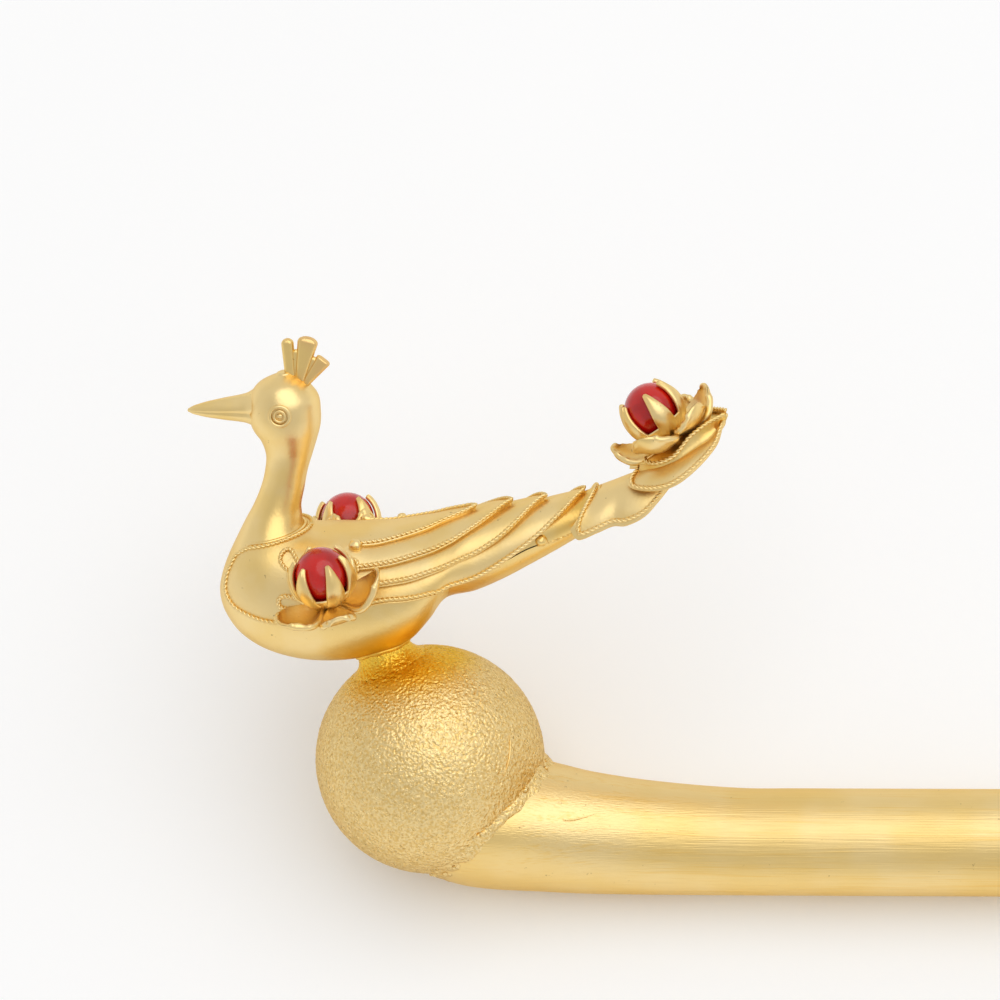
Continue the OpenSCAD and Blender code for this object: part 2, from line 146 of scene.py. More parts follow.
def loft(rings, closed=False):
    """A solid through rings of points. An open one is closed by a fan of triangles at each end."""
    rings = np.asarray(rings, float)
    count, sides = rings.shape[:2]
    number = np.arange(count * sides).reshape(count, sides)
    number = np.hstack([number, number[:, :1]])
    points = rings.reshape(-1, 3)
    if closed:
        return outward(points, [quads(np.vstack([number, number[:1]]))])
    faces = [quads(number)]
    for end, flip in ((0, 1), (count - 1, -1)):
        middle = len(points)
        points = np.vstack([points, rings[end].mean(axis=0)])
        fan = np.column_stack([number[end, :-1], np.full(sides, middle), number[end, 1:]])
        faces.append(fan[:, ::flip])
    return outward(points, faces)


def sheet(outer, inner):
    """A thin solid between two grids of points of the same size."""
    outer, inner = np.asarray(outer, float), np.asarray(inner, float)
    rows, cols = outer.shape[:2]
    points = np.concatenate([outer, inner[:, ::-1]], axis=1)
    number = np.arange(rows * 2 * cols).reshape(rows, 2 * cols)
    faces = [quads(np.hstack([number, number[:, :1]]))]
    for end, flip in ((0, 1), (rows - 1, -1)):
        ends = quads(np.stack([number[end, :cols], number[end, cols:][::-1]]))
        faces.append(ends[:, ::flip])
    return outward(points.reshape(-1, 3), faces)


def revolve(profile, sides, axis, at=(0, 0, 0)):
    """A solid of revolution about an axis. Each row of the profile is a radius and a height."""
    ring = circle(axis, sides)
    return loft([np.asarray(at, float) + unit(axis) * height + ring * radius for radius, height in profile])


def joined(parts):
    """Several parts as one, without welding them."""
    starts = np.cumsum([0] + [len(points) for points, _ in parts])
    faces = [f + start for (_, arrays), start in zip(parts, starts) for f in arrays]
    return np.vstack([points for points, _ in parts]), faces


def mirrored(parts):
    """The same parts on the pin's other side."""
    return [outward(points * (1, 1, -1), faces) for points, faces in parts]


# %% [markdown]
# Wire
#
# The goldsmith twisted two thin wires into a rope and soldered it along each edge. It could be one tube
# with a bump texture, but then its outline would be smooth. Here the two strands are real tubes that wind
# round each other along the path, with solder between them.

# %% Paths, tubes and twisted wire
ROPE_R = 0.113
ROPE_PITCH = 0.5
TURN_STEPS = 10
# Parts of the rope's radius
SOLDER_R, STRAND_OUT, STRAND_R = 0.60, 0.50, 0.54


def resample(path, step, closed=False):
    """The path with points at equal distances of about step."""
    path = np.asarray(path, float)
    if closed:
        path = np.vstack([path, path[:1]])
    run = np.concatenate([[0], np.cumsum(np.linalg.norm(np.diff(path, axis=0), axis=1))])
    count = max(int(round(run[-1] / step)), 3)
    at = np.linspace(0, run[-1], count + 1)
    even = np.column_stack([np.interp(at, run, path[:, k]) for k in range(3)])
    return even[:-1] if closed else even


def across_path(path, closed=False):
    """Two unit directions across a path at each point, which twist as little as they can."""
    tangents = np.roll(path, -1, 0) - np.roll(path, 1, 0)
    if not closed:
        tangents[0], tangents[-1] = path[1] - path[0], path[-1] - path[-2]
    tangents /= np.linalg.norm(tangents, axis=1)[:, None]
    side = cross_axes(tangents[0])[0]
    sides = []
    for t in tangents:
        side = unit(side - t * (side @ t))
        sides.append(side)
    return np.array(sides), np.cross(tangents, sides)


def tube(path, radius, sides=10, closed=False):
    """A round tube along a path. Its radius may vary along it."""
    path = np.asarray(path, float)
    a, b = across_path(path, closed)
    c, n = cos_sin(all_round(sides)[:, None])
    around = c * a[:, None] + n * b[:, None]
    return loft(path[:, None] + np.broadcast_to(radius, len(path))[:, None, None] * around, closed)


def rope(path, radius=ROPE_R, pitch=ROPE_PITCH, closed=False):
    """Two strands twisted along a path, and the solder between them, as a list of parts."""
    even = resample(path, pitch / TURN_STEPS, closed)
    a, b = across_path(even, closed)
    turns = len(even) / TURN_STEPS
    if closed:
        turns = max(round(turns), 1)
    phase = 2 * np.pi * turns * np.arange(len(even))[:, None] / len(even)
    parts = [tube(even, radius * SOLDER_R, 8, closed)]
    for start in (0, np.pi):
        away = a * np.cos(phase + start) + b * np.sin(phase + start)
        parts.append(tube(even + away * radius * STRAND_OUT, radius * STRAND_R, 8, closed))
    return parts


# %% [markdown]
# Pieces
#
# A piece becomes one Blender object. A mesh could be filled face by face with bmesh, but with this many
# faces that is slow, so whole arrays go in at once. A piece rides on the pin's only body and may stand
# for one or more of the frame's nodes. Shading is smooth except across real edges.

# %% Turn parts into a piece
SMOOTH = 180
FINISHES = {}
made = []


def piece(name, parts, finish, slot, *nodes, crease=35):
    """One object from parts in the pin's own frame. Edges sharper than the crease angle stay sharp."""
    points, faces = joined(parts)
    corners = np.concatenate([f.ravel() for f in faces])
    counts = np.concatenate([np.full(len(f), f.shape[1]) for f in faces])
    mesh = bpy.data.meshes.new(name)
    mesh.vertices.add(len(points))
    mesh.vertices.foreach_set("co", to_world(points).ravel())
    mesh.loops.add(len(corners))
    mesh.loops.foreach_set("vertex_index", corners.astype(np.int32))
    mesh.polygons.add(len(counts))
    mesh.polygons.foreach_set("loop_start", (np.cumsum(counts) - counts).astype(np.int32))
    mesh.polygons.foreach_set("loop_total", counts.astype(np.int32))
    mesh.polygons.foreach_set("use_smooth", np.ones(len(counts), bool))
    mesh.update(calc_edges=True)
    mesh.validate()
    mesh.set_sharp_from_angle(angle=math.radians(crease))
    mesh.materials.append(FINISHES[finish])
    obj = bpy.data.objects.new(name, mesh)
    bpy.context.scene.collection.objects.link(obj)
    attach(obj, "root")
    if nodes:
        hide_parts(*nodes)
    triangles = int((counts - 2).sum())
    made.append((name, triangles))
    print(f"{name}: {triangles} triangles")


def pair(name, parts, finish, slot, *nodes, crease=35):
    """A piece on the bird's left side, and its mirror image on the right."""
    for side, on_side in (("left", parts), ("right", mirrored(parts))):
        piece(f"{name}_{side}", on_side, finish, slot, *[f"{n}_{side}" for n in nodes], crease=crease)


# %% [markdown]
# Shader maths as expressions
#
# A finish varies a little over its surface: brushing, punch marks, specks, warmer metal in the hollows. In
# the shader editor each sum is a node to be placed and linked by hand. Here a small class wraps a socket
# and overloads the operators, so that 1 - mask or 0.3 + 0.1 * grain adds the Math nodes by itself.

# %% A socket with operators
class Signal:
    """A number that varies over a surface: a shader socket that can be used in sums."""

    def __init__(self, finish, socket):
        self.finish = finish
        self.socket = socket

    def sum(self, operation, first, second):
        """A Math node on two values."""
        node = self.finish.add("ShaderNodeMath", {"operation": operation}, {0: first, 1: second})
        return Signal(self.finish, node.outputs[0])

    def __add__(self, other):
        return self.sum("ADD", self, other)

    __radd__ = __add__

    def __sub__(self, other):
        return self.sum("SUBTRACT", self, other)

    def __rsub__(self, other):
        return self.sum("SUBTRACT", other, self)

    def __mul__(self, other):
        return self.sum("MULTIPLY", self, other)

    __rmul__ = __mul__

    def above(self, low, high):
        """0 below low, 1 above high, and a smooth rise between them."""
        node = self.finish.add(
            "ShaderNodeMapRange", {"interpolation_type": "SMOOTHSTEP"},
            {"Value": self, "From Min": low, "From Max": high})
        return Signal(self.finish, node.outputs["Result"])


class Nodes:
    """A tree of shader nodes."""

    def __init__(self, owner, last):
        owner.use_nodes = True
        self.tree = owner.node_tree
        self.last = self.tree.nodes[last]

    def add(self, kind, settings=None, inputs=None):
        """Any node: its type, its settings, and the values or links of its sockets."""
        node = self.tree.nodes.new(kind)
        for key, value in (settings or {}).items():
            setattr(node, key, value)
        for key, value in (inputs or {}).items():
            value = value.socket if isinstance(value, Signal) else value
            if isinstance(value, bpy.types.NodeSocket):
                self.tree.links.new(value, node.inputs[key])
            else:
                node.inputs[key].default_value = value
        return node

    def vary(self, name, value):
        """Let a value that varies drive a socket of the tree's last node."""
        self.tree.links.new(value.socket if isinstance(value, Signal) else value, self.last.inputs[name])


class Finish(Nodes):
    """One material: constants go straight on its shader, and what varies is linked to it."""

    def __init__(self, name, **constants):
        material = bpy.data.materials.new(name)
        super().__init__(material, "Principled BSDF")
        for key, value in constants.items():
            self.last.inputs[key.replace("_", " ").title()].default_value = value
        self.place = self.add("ShaderNodeTexCoord").outputs["Object"]
        FINISHES[name] = material

    def grain(self, size, detail=2.0, stretch=(1, 1, 1), roughness=0.5):
        """Noise about 0.5 whose spots are about size millimetres, stretched along the axes."""
        scale = [1 / (size * MM * s) for s in stretch]
        mapped = self.add("ShaderNodeMapping", {}, {"Vector": self.place, "Scale": scale})
        node = self.add("ShaderNodeTexNoise", {}, {
            "Vector": mapped.outputs[0], "Scale": 1.0, "Detail": detail, "Roughness": roughness})
        return Signal(self, node.outputs[0])

    def pits(self, size):
        """Rounded hollows about scattered points, about size millimetres apart."""
        node = self.add("ShaderNodeTexVoronoi", {"feature": "SMOOTH_F1"}, {
            "Vector": self.place, "Scale": 1 / (size * MM)})
        return Signal(self, node.outputs["Distance"])

    def distance(self, point):
        """Distance from a point of the frame."""
        node = self.add("ShaderNodeVectorMath", {"operation": "DISTANCE"}, {0: self.place, 1: tuple(point)})
        return Signal(self, node.outputs["Value"])

    def mix(self, first, second, amount):
        """A colour between two colours."""
        node = self.add("ShaderNodeMix", {"data_type": "RGBA"}, {0: amount, 6: first, 7: second})
        return node.outputs[2]

    def bump(self, height, depth):
        """Relief whose height runs from 0 to depth millimetres."""
        node = self.add("ShaderNodeBump", {}, {"Height": height, "Distance": depth * MM})
        self.vary("Normal", node.outputs[0])


def rgb(red, green, blue):
    """A colour given as on a screen, from 0 to 255, as the renderer's own numbers."""
    straight = [v / 12.92 if v <= 0.04045 else ((v + 0.055) / 1.055) ** 2.4
                for v in (red / 255, green / 255, blue / 255)]
    return (*straight, 1.0)


# %% [markdown]
# The gold
#
# All the metal is the same gilding, but each tool leaves its own surface. The shank was brushed along its
# length. The ball and the bird's foot were punched and frosted. The body is satin, the feathers are more
# matt and the petals paler, while sheet that lies under others gets a deeper gold as painted shade. Solder
# and heat stained the small parts and left dark specks. One gold for all would be simpler, but the pieces
# would melt into one another, so one function makes the satin finishes with their own colours, roughness
# and specks.

# %% Gold finishes
PALE = rgb(249, 221, 158)
WARM = rgb(246, 213, 138)
DEEP = rgb(242, 196, 98)
COPPERY = rgb(238, 196, 134)
EDGE = (0.82, 0.72, 0.56, 1.0)
SPECK = rgb(130, 100, 64)
# A darker gold painted into the ball's pits as shade.
PAINTED_PIT_SHADE = rgb(234, 197, 122)
# A deep amber that is painted reflection and shade: ball and belly round the foot each mirror the other's
# gold.
PAINTED_REFLECTION_AMBER = rgb(246, 197, 58)
FOOT_AT = to_world([(-0.9, 5.6, 0.0)])[0]
PAINTED_REFLECTION_NEAR, PAINTED_REFLECTION_FAR = 2.3, 4.4


def painted_reflection_near_foot(f):
    """Mask of painted reflection and shade: 1 where ball and belly face each other round the foot, 0 away.
    """
    return 1 - f.distance(FOOT_AT).above(PAINTED_REFLECTION_NEAR * MM, PAINTED_REFLECTION_FAR * MM)


def satin_gold(name, pale, warm, roughness, specks=None, relief=0.022):
    """Gilt metal with a soft sheen. Specks show where their noise is above specks, which is about 0.7."""
    f = Finish(name, metallic=1.0, specular_tint=EDGE)
    colour = f.mix(pale, warm, f.grain(2.6, 3).above(0.35, 0.68))
    if specks:
        spots = f.grain(0.30, 2, roughness=0.6).above(specks, specks + 0.07)
        colour = f.mix(colour, SPECK, spots * 0.5)
    # Near the foot the colour turns amber: painted reflection of the ball's gold and painted shade.
    f.vary("Base Color", f.mix(colour, PAINTED_REFLECTION_AMBER, painted_reflection_near_foot(f) * 0.8))
    f.vary("Roughness", roughness - 0.05 + 0.10 * f.grain(0.8, 3))
    if relief:
        f.bump(0.65 * f.grain(0.8, 3) + 0.35 * f.grain(0.12, 3), relief)


def brushed_gold(name):
    """The shank: fine lines along the pin, a few specks and warmer streaks."""
    f = Finish(name, metallic=1.0, specular_tint=EDGE)
    lines = f.grain(0.07, 3, stretch=(60, 1, 1))
    broad = f.grain(0.5, 2, stretch=(24, 1, 1))
    clouds = f.grain(4.0, 2).above(0.3, 0.7)
    colour = f.mix(f.mix(PALE, WARM, clouds), DEEP, (broad + lines).above(1.0, 1.35) * 0.45)
    spots = f.grain(0.35, 2, roughness=0.6).above(0.72, 0.78)
    f.vary("Base Color", f.mix(colour, SPECK, spots * 0.4))
    f.vary("Roughness", 0.32 + 0.14 * lines)
    f.bump(0.8 * lines + 0.2 * f.grain(0.6, 2, stretch=(3, 1, 1)), 0.027)


def frosted_gold(name):
    """The ball: small punched pits with worm-like rims between them, the pits darkened with painted shade.
    """
    f = Finish(name, metallic=1.0, specular_tint=EDGE)
    worms = f.grain(0.14, 2, roughness=0.6)
    # Painted shade: the pits between the rims get the darker gold, the rims stay pale.
    colour = f.mix(PAINTED_PIT_SHADE, PALE, worms.above(0.36, 0.60))
    # Round the foot the ball turns amber: painted reflection of the belly's gold and painted shade.
    f.vary("Base Color", f.mix(colour, PAINTED_REFLECTION_AMBER, painted_reflection_near_foot(f) * 0.9))
    f.vary("Roughness", 0.23 + 0.10 * f.grain(0.4, 2))
    f.bump(0.4 * f.pits(0.15) + 0.6 * worms, 0.120)


satin_gold("satin_gold", PALE, WARM, 0.34, 0.715)
satin_gold("feather_gold", PALE, WARM, 0.42, 0.705)
satin_gold("petal_gold", PALE, WARM, 0.36, 0.69)
# A deeper gold for sheet that lies under others: painted shade.
satin_gold("painted_shade_gold", WARM, DEEP, 0.32)
satin_gold("rope_gold", PALE, WARM, 0.30, relief=0)
satin_gold("trim_gold", WARM, COPPERY, 0.32, 0.69)
brushed_gold("brushed_gold")
frosted_gold("frosted_gold")
print("golds:", sorted(FINISHES))

# %% [markdown]
# The coral
#
# Coral is a hard red stone with a waxy polish and faint bands of growth. A plain glossy red would look like
# plastic, so the red varies in soft bands, a little light enters the stone, and a thin coat gives the
# polish.

# %% Coral finish
coral = Finish("coral", roughness=0.18, coat_weight=0.25, coat_roughness=0.06, subsurface_weight=0.06,
               subsurface_radius=(0.4, 0.08, 0.05), subsurface_scale=0.0004)
bands = coral.grain(1.3, 2, stretch=(1, 1, 2)).above(0.35, 0.7)
coral.vary("Base Color", coral.mix(rgb(204, 22, 12), rgb(168, 10, 8), bands))
print("coral nodes:", len(coral.tree.nodes))

# %% [markdown]
# Smooth curves through short tables
#
# A shape could be given by hundreds of points, but nobody could read or mend them. Here the maker chooses a
# few sections, as templates are filed, and a smooth curve passes through the rows of the table. Any
# number of rings can be taken from it. A second function does the same for pairs of numbers at uneven
# places.

# %% Rows between a table's rows
def rows_at(table, s):
    """Rows of a table at fractional row numbers."""
    table = np.asarray(table, float)
    last = len(table) - 1
    s = np.clip(np.asarray(s, float), 0, last)
    i = np.minimum(s.astype(int), last - 1)
    t = (s - i)[..., None]
    a, b, c, d = (table[np.clip(i + k, 0, last)] for k in (-1, 0, 1, 2))
    square, cube = 2 * a - 5 * b + 4 * c - d, 3 * b - a - 3 * c + d
    return 0.5 * (2 * b + (c - a) * t + square * t ** 2 + cube * t ** 3)


def value_at(line, s):
    """A smooth curve through pairs of numbers at uneven places."""
    xs, ys = np.array(line, float).T
    slopes = np.gradient(ys, xs)
    s = np.clip(s, xs[0], xs[-1])
    i = np.clip(np.searchsorted(xs, s) - 1, 0, len(xs) - 2)
    step = xs[i + 1] - xs[i]
    t = (s - xs[i]) / step
    return (
        ys[i] * (1 + 2 * t) * (1 - t) ** 2 + ys[i + 1] * t ** 2 * (3 - 2 * t)
        + step * (slopes[i] * t * (1 - t) ** 2 - slopes[i + 1] * t ** 2 * (1 - t)))


def ramp(value, start, length):
    """0 up to start, then an even rise to 1 over length."""
    return min(max((value - start) / length, 0), 1)


# %% [markdown]
# The shank
#
# The shank is a straight rod. Its root flares and was filed obliquely to sit against the ball. A cylinder
# with a cone would show a hard join, so one loft runs from the root to the tip. Each section of the root is
# widest at side_y. Its lower quarters are flatter, because the pin lies on them.

# %% Shank
# x, top_y, side_y, bottom_y, half_width, power
ROOT = [
    [0.30, 0.45, -2.60, -5.95, 3.45, 1.90],
    [0.80, 0.35, -2.60, -6.35, 3.75, 1.80],
    [1.60, 0.22, -2.65, -6.62, 4.00, 1.70],
    [2.40, 0.18, -2.75, -6.76, 4.10, 1.65],
    [3.30, 0.13, -2.85, -6.85, 4.05, 1.65],
    [4.30, 0.00, -2.95, -6.90, 3.88, 1.67],
    [5.30, -0.18, -3.10, -6.94, 3.62, 1.70],
    [6.60, -0.47, -3.40, -6.99, 3.30, 1.80],
    [8.20, -0.83, -3.70, -7.04, 3.02, 1.85],
    [10.70, -1.21, -4.03, -7.06, 2.82, 1.90],
    [13.50, -1.49, -4.27, -7.06, 2.70, 1.95],
    [16.00, -1.65, -4.35, -7.05, 2.70, 2.00],
    [18.00, -1.65, -4.35, -7.05, 2.70, 2.00],
]
LAST_ROW = len(ROOT) - 1
ROOT_SIDES = 144
ROOT_RINGS, ROD_RINGS, TIP_RINGS = 90, 60, 26
# How far the root runs into the ball, in rows, and how much closer its rings stand there
INTO_BALL, RING_CROWD = 0.25, 1.5
TIP_X, TIP_LEN, TIP_POWER = 172.0, 4.5, 2.2


def root_point(s, angle):
    """A point of the root's surface at row number s, at an angle from its top in degrees."""
    x, top, side, bottom, half, power = np.moveaxis(rows_at(ROOT, s), -1, 0)
    c, n = cos_sin(angle)
    flat = np.where(c >= 0, 1.0, (np.abs(c) ** power + np.abs(n) ** power + 1e-9) ** (-1 / power))
    y = side + flat * c * np.where(c >= 0, top - side, side - bottom)
    return np.stack([x + 0 * c, y, flat * half * n], axis=-1)


def seam_start(angle):
    """Row number where the root leaves the ball, at an angle from its top."""
    s = np.linspace(0, LAST_ROW, 900)
    off = np.linalg.norm(root_point(s, np.full_like(s, angle)), axis=1)
    inside = np.nonzero(off < BALL_R)[0]
    return s[inside[-1] + 1] if len(inside) else 0.0


root_turn = all_round(ROOT_SIDES)
rod_circle = np.column_stack([np.zeros(ROOT_SIDES), *cos_sin(root_turn)])
seam = np.array([seam_start(a) for a in root_turn])
root_rings = [root_point(seam - INTO_BALL * (1 - t) + (LAST_ROW - seam) * t, root_turn)
              for t in np.linspace(0, 1, ROOT_RINGS) ** RING_CROWD]
sections = [(x, SHANK_R) for x in np.linspace(ROOT[-1][0], TIP_X - TIP_LEN, ROD_RINGS)[1:]]
sections += [(TIP_X - TIP_LEN + TIP_LEN * t, SHANK_R * (1 - t ** TIP_POWER))
             for t in np.sin(np.linspace(0, np.pi / 2, TIP_RINGS)[1:-1])]
rod_rings = [rod_circle * radius + (x, -SHANK_DROP, 0) for x, radius in sections]
piece("shank_rod", [loft(root_rings + rod_rings)], "brushed_gold", "brushed_gold", "shank")

# %% [markdown]
# The ball
#
# The ball's surface was punched until it looked frosted. A sphere from latitudes and longitudes would crowd
# its poles, so a cube's faces are blown up to a sphere: its squares stay nearly even, and fine enough to
# carry real relief. The bump in the finish adds what is finer than a square.

# %% Ball
BALL_SQUARES = 127
PUNCH_DEPTH, WORM_SIZE, GRAIN_SIZE = 0.040, 0.18, 0.13


def blown_cube(squares):
    """A cube blown up to a unit sphere and welded along its edges, with this many squares a side."""
    line = np.tan(np.linspace(-np.pi / 4, np.pi / 4, squares + 1))
    u, v = np.meshgrid(line, line, indexing="ij")
    faces = [quads(np.arange(u.size).reshape(u.shape))]
    parts = []
    for axis in range(3):
        for sign in (-1, 1):
            points = np.empty(u.shape + (3,))
            points[..., axis] = sign
            points[..., (axis + 1) % 3] = u
            points[..., (axis + 2) % 3] = v * sign
            points /= np.linalg.norm(points, axis=-1)[..., None]
            parts.append((points.reshape(-1, 3), faces))
    points, faces = joined(parts)
    _, first, number = np.unique(np.round(points, 5), axis=0, return_index=True, return_inverse=True)
    return outward(points[first], [number.ravel()[f] for f in faces])


def noise_at(points, size, away=(0, 0, 0)):
    """Smooth noise at points. Its lumps are about size millimetres, and away chooses another pattern."""
    return np.array([noise.noise(Vector(p) / size + Vector(away)) for p in points])


ball_unit, ball_faces = blown_cube(BALL_SQUARES)
worms = 1 - abs(noise_at(ball_unit * BALL_R, WORM_SIZE)) * 2.4
grains = noise_at(ball_unit * BALL_R, GRAIN_SIZE, (7, 3, 1))
heights = PUNCH_DEPTH * (0.7 * worms + 0.5 * grains - 0.6)
ball_points = ball_unit * (BALL_R + heights)[:, None]
piece("ball_frosted", [(ball_points, ball_faces)], "frosted_gold", "frosted_gold", "ball", crease=SMOOTH)
print("punch marks in mm:", round(heights.min(), 3), "to", round(heights.max(), 3))

# %% [markdown]
# The bird's body, neck and head
#
# The real body was raised from sheet, from the crown down to the tail without a break. It could be
# sculpted, but a sculpture can't be measured. So the body is one smooth skin through a table. Each row is
# an oval section: a point on the throat, breast or belly, a point on the nape or back, and a half width.
# Everything that lies on the skin later, such as the wing plate and its wires, takes its place from the
# same function.

# %% Skin
# front_x, front_y, back_x, back_y, half_width
SKIN = [
    [-6.90, 20.30, -6.10, 20.35, 0.45],
    [-7.85, 19.80, -5.45, 19.90, 1.30],
    [-8.30, 19.10, -4.85, 19.15, 1.70],
    [-8.40, 18.30, -4.75, 18.30, 1.78],
    [-8.20, 17.50, -4.80, 17.60, 1.65],
    [-7.80, 16.85, -5.00, 16.90, 1.40],
    [-7.60, 16.10, -5.25, 16.15, 1.18],
    [-7.70, 15.25, -5.55, 15.25, 1.10],
    [-7.95, 14.40, -5.75, 14.35, 1.12],
    [-8.35, 13.50, -5.95, 13.50, 1.30],
    [-8.75, 12.80, -5.95, 12.95, 1.55],
    [-9.20, 11.95, -5.90, 12.45, 1.95],
    [-9.70, 10.95, -5.65, 12.20, 2.45],
    [-10.10, 9.90, -5.00, 12.15, 2.75],
    [-10.25, 8.95, -4.10, 12.20, 2.95],
    [-10.00, 7.90, -3.25, 12.20, 3.10],
    [-9.25, 6.80, -2.40, 12.25, 3.22],
    [-7.95, 5.95, -1.60, 12.25, 3.28],
    [-6.15, 5.45, -0.80, 12.35, 3.27],
    [-4.15, 5.40, -0.05, 12.45, 3.20],
    [-2.20, 5.75, 0.65, 12.55, 3.08],
    [-0.70, 6.45, 1.30, 12.70, 2.90],
    [0.33, 7.52, 2.05, 12.85, 2.65],
    [1.25, 8.68, 2.85, 13.00, 2.40],
    [2.75, 9.05, 3.85, 13.15, 2.12],
    [4.25, 9.70, 5.00, 13.30, 1.88],
    [5.65, 10.45, 6.15, 13.45, 1.65],
    [6.90, 11.15, 7.30, 13.65, 1.45],
    [8.00, 11.80, 8.35, 13.90, 1.28],
]
BODY_END, BODY_RINGS, BODY_SIDES = 23, 260, 96
CROWN_DOME, STERN_DOME = 0.14, 0.9


def skin(s, angle, lift=0.0):
    """A point at section s, at an angle from the ridge of the back, raised above the skin by lift."""
    s, angle, lift = np.broadcast_arrays(np.asarray(s, float), angle, lift)
    r = rows_at(SKIN, s)
    front, back = r[..., 0:2], r[..., 2:4]
    half = np.linalg.norm(front - back, axis=-1) / 2
    along = (front - back) / (2 * half)[..., None]
    c, n = cos_sin(angle)
    flat = (front + back) / 2 - along * ((half + lift) * c)[..., None]
    return np.concatenate([flat, ((r[..., 4] + lift) * n)[..., None]], axis=-1)


def closing(ring, way, depth):
    """Rings that close an end with a shallow dome."""
    middle = ring.mean(axis=0)
    bends = np.linspace(0, np.pi / 2, 7)[1:-1]
    return [middle + (ring - middle) * math.cos(b) + unit(way) * depth * math.sin(b) for b in bends]


body_rings = [skin(s, all_round(BODY_SIDES)) for s in np.linspace(0, BODY_END, BODY_RINGS)]
crown = closing(body_rings[0], UP, CROWN_DOME)[::-1]
stern = closing(body_rings[-1], body_rings[-1].mean(axis=0) - body_rings[-2].mean(axis=0), STERN_DOME)
body_part = loft(crown + body_rings + stern)
print("body rings:", len(crown + body_rings + stern))

# %% [markdown]
# The foot
#
# Under the belly a short round foot flares out to the ball, and a bright uneven line of solder runs round
# its top. The foot is a turned form, so a profile is revolved. The line can't be turned, because the belly
# is curved: rays are cast from the ball up to the belly, and a rough tube runs through the points that they
# hit.

# %% Foot and its solder
FOOT_TILT = 20.0
FOOT_R, FOOT_TOP = 1.32, 1.2
# radius, height above the ball's own surface at that radius
FOOT_FLARE = [(2.10, -0.05), (1.90, 0.01), (1.74, 0.07), (1.60, 0.15), (1.49, 0.26), (1.41, 0.40),
              (1.36, 0.60)]
SOLDER_OUT, SOLDER_WIRE, SOLDER_SWELL = 0.04, 0.13, 0.05
WANDER, WANDER_SIZE, SWELL_SIZE = 0.05, 0.8, 0.48
PATTERN = np.array([2.0, 0.3, 0.7])
tilt_cos, tilt_sin = cos_sin(FOOT_TILT)
foot_axis = np.array([-tilt_sin, tilt_cos, 0])
foot_profile = [(r, math.sqrt(BALL_R ** 2 - r ** 2) + above) for r, above in FOOT_FLARE]
foot_part = revolve(foot_profile + [(FOOT_R, BALL_R + FOOT_TOP)], 96, foot_axis)


def tree_of(part):
    """A tree for casting rays at a part, in the pin's own frame."""
    points, faces = part
    corners = [tuple(int(v) for v in row) for f in faces for row in f]
    return BVHTree.FromPolygons([Vector(p) for p in points], corners)


body_tree = tree_of(body_part)
starts = circle(foot_axis, 160) * (FOOT_R + SOLDER_OUT) + foot_axis * BALL_R
foot_line = np.array([body_tree.ray_cast(Vector(start), Vector(foot_axis))[0] for start in starts])
wander = np.column_stack([noise_at(foot_line, WANDER_SIZE, PATTERN * k) for k in (1, 2, 3)])
swell = noise_at(foot_line, SWELL_SIZE, -PATTERN)
foot_solder = tube(foot_line + WANDER * wander, SOLDER_WIRE + SOLDER_SWELL * swell, 10, closed=True)
print("solder line round the foot:", len(foot_line), "points")
piece("bird_skin", [body_part, foot_solder], "satin_gold", "satin_gold", "bird_body")
piece("bird_foot", [foot_part], "frosted_gold", "satin_gold", crease=SMOOTH)

# %% [markdown]
# The solder seam between ball and shank
#
# Solder was run along the seam by hand, so it stands up as a rough ridge with small drops. A bump texture
# would leave its outline smooth, so it is a band of real relief. It follows the curve where the root leaves
# the ball, which the shank's cell can work out at any angle.

# %% Seam
SEAM_WIDTH = 0.56
SEAM_HEIGHT, SEAM_LUMPS, SEAM_DEPTH = 0.18, 0.13, 0.25
WAVE_SIZE, LUMP_SIZE, GRIT_SIZE = 0.9, 0.75, 0.24
# How deep the solder's two edges dip into the ball and into the root
EDGE_IN_BALL, EDGE_IN_ROOT = 0.03, 0.05
SEAM_COLUMNS = np.linspace(0, 1, 9)
DROPS = 14
drop_unit, drop_faces = blown_cube(7)


def seam_ring(angle):
    """One section through the solder: a curve from the ball over the seam to the root, and a point below."""
    s = seam_start(angle)
    at, on_root = root_point(np.array([s, s + 0.3]), np.full(2, angle))
    along, ball_out = unit(on_root - at), unit(at)
    root_out = unit((0.0, at[1] + SHANK_DROP, at[2]))
    back = unit(ball_out * (along @ ball_out) - along)
    up = unit(ball_out + root_out)
    width = SEAM_WIDTH * (1 + 0.5 * noise_at([at], WAVE_SIZE)[0])
    first = unit(at + back * width) * (BALL_R - EDGE_IN_BALL)
    last = at + along * width - root_out * EDGE_IN_ROOT
    q = SEAM_COLUMNS[:, None]
    curve = first * (1 - q) ** 2 + (at + up * SEAM_HEIGHT) * 2 * q * (1 - q) + last * q ** 2
    lumps = noise_at(curve, LUMP_SIZE) + 0.4 * noise_at(curve, GRIT_SIZE)
    curve += np.outer(lumps * np.sin(np.pi * SEAM_COLUMNS) * SEAM_LUMPS, up)
    return [*curve, at - up * SEAM_DEPTH]


def drop(at, radius, seed, flat, normal):
    """A drop of solder: a small lumpy ball, flattened along a direction."""
    normal = unit(normal)
    points = drop_unit * (1 + 0.18 * noise_at(drop_unit, 1 / 1.3, (seed, seed, 0)))[:, None]
    points -= np.outer(points @ normal, normal) * (1 - flat)
    return np.asarray(at) + points * radius, drop_faces


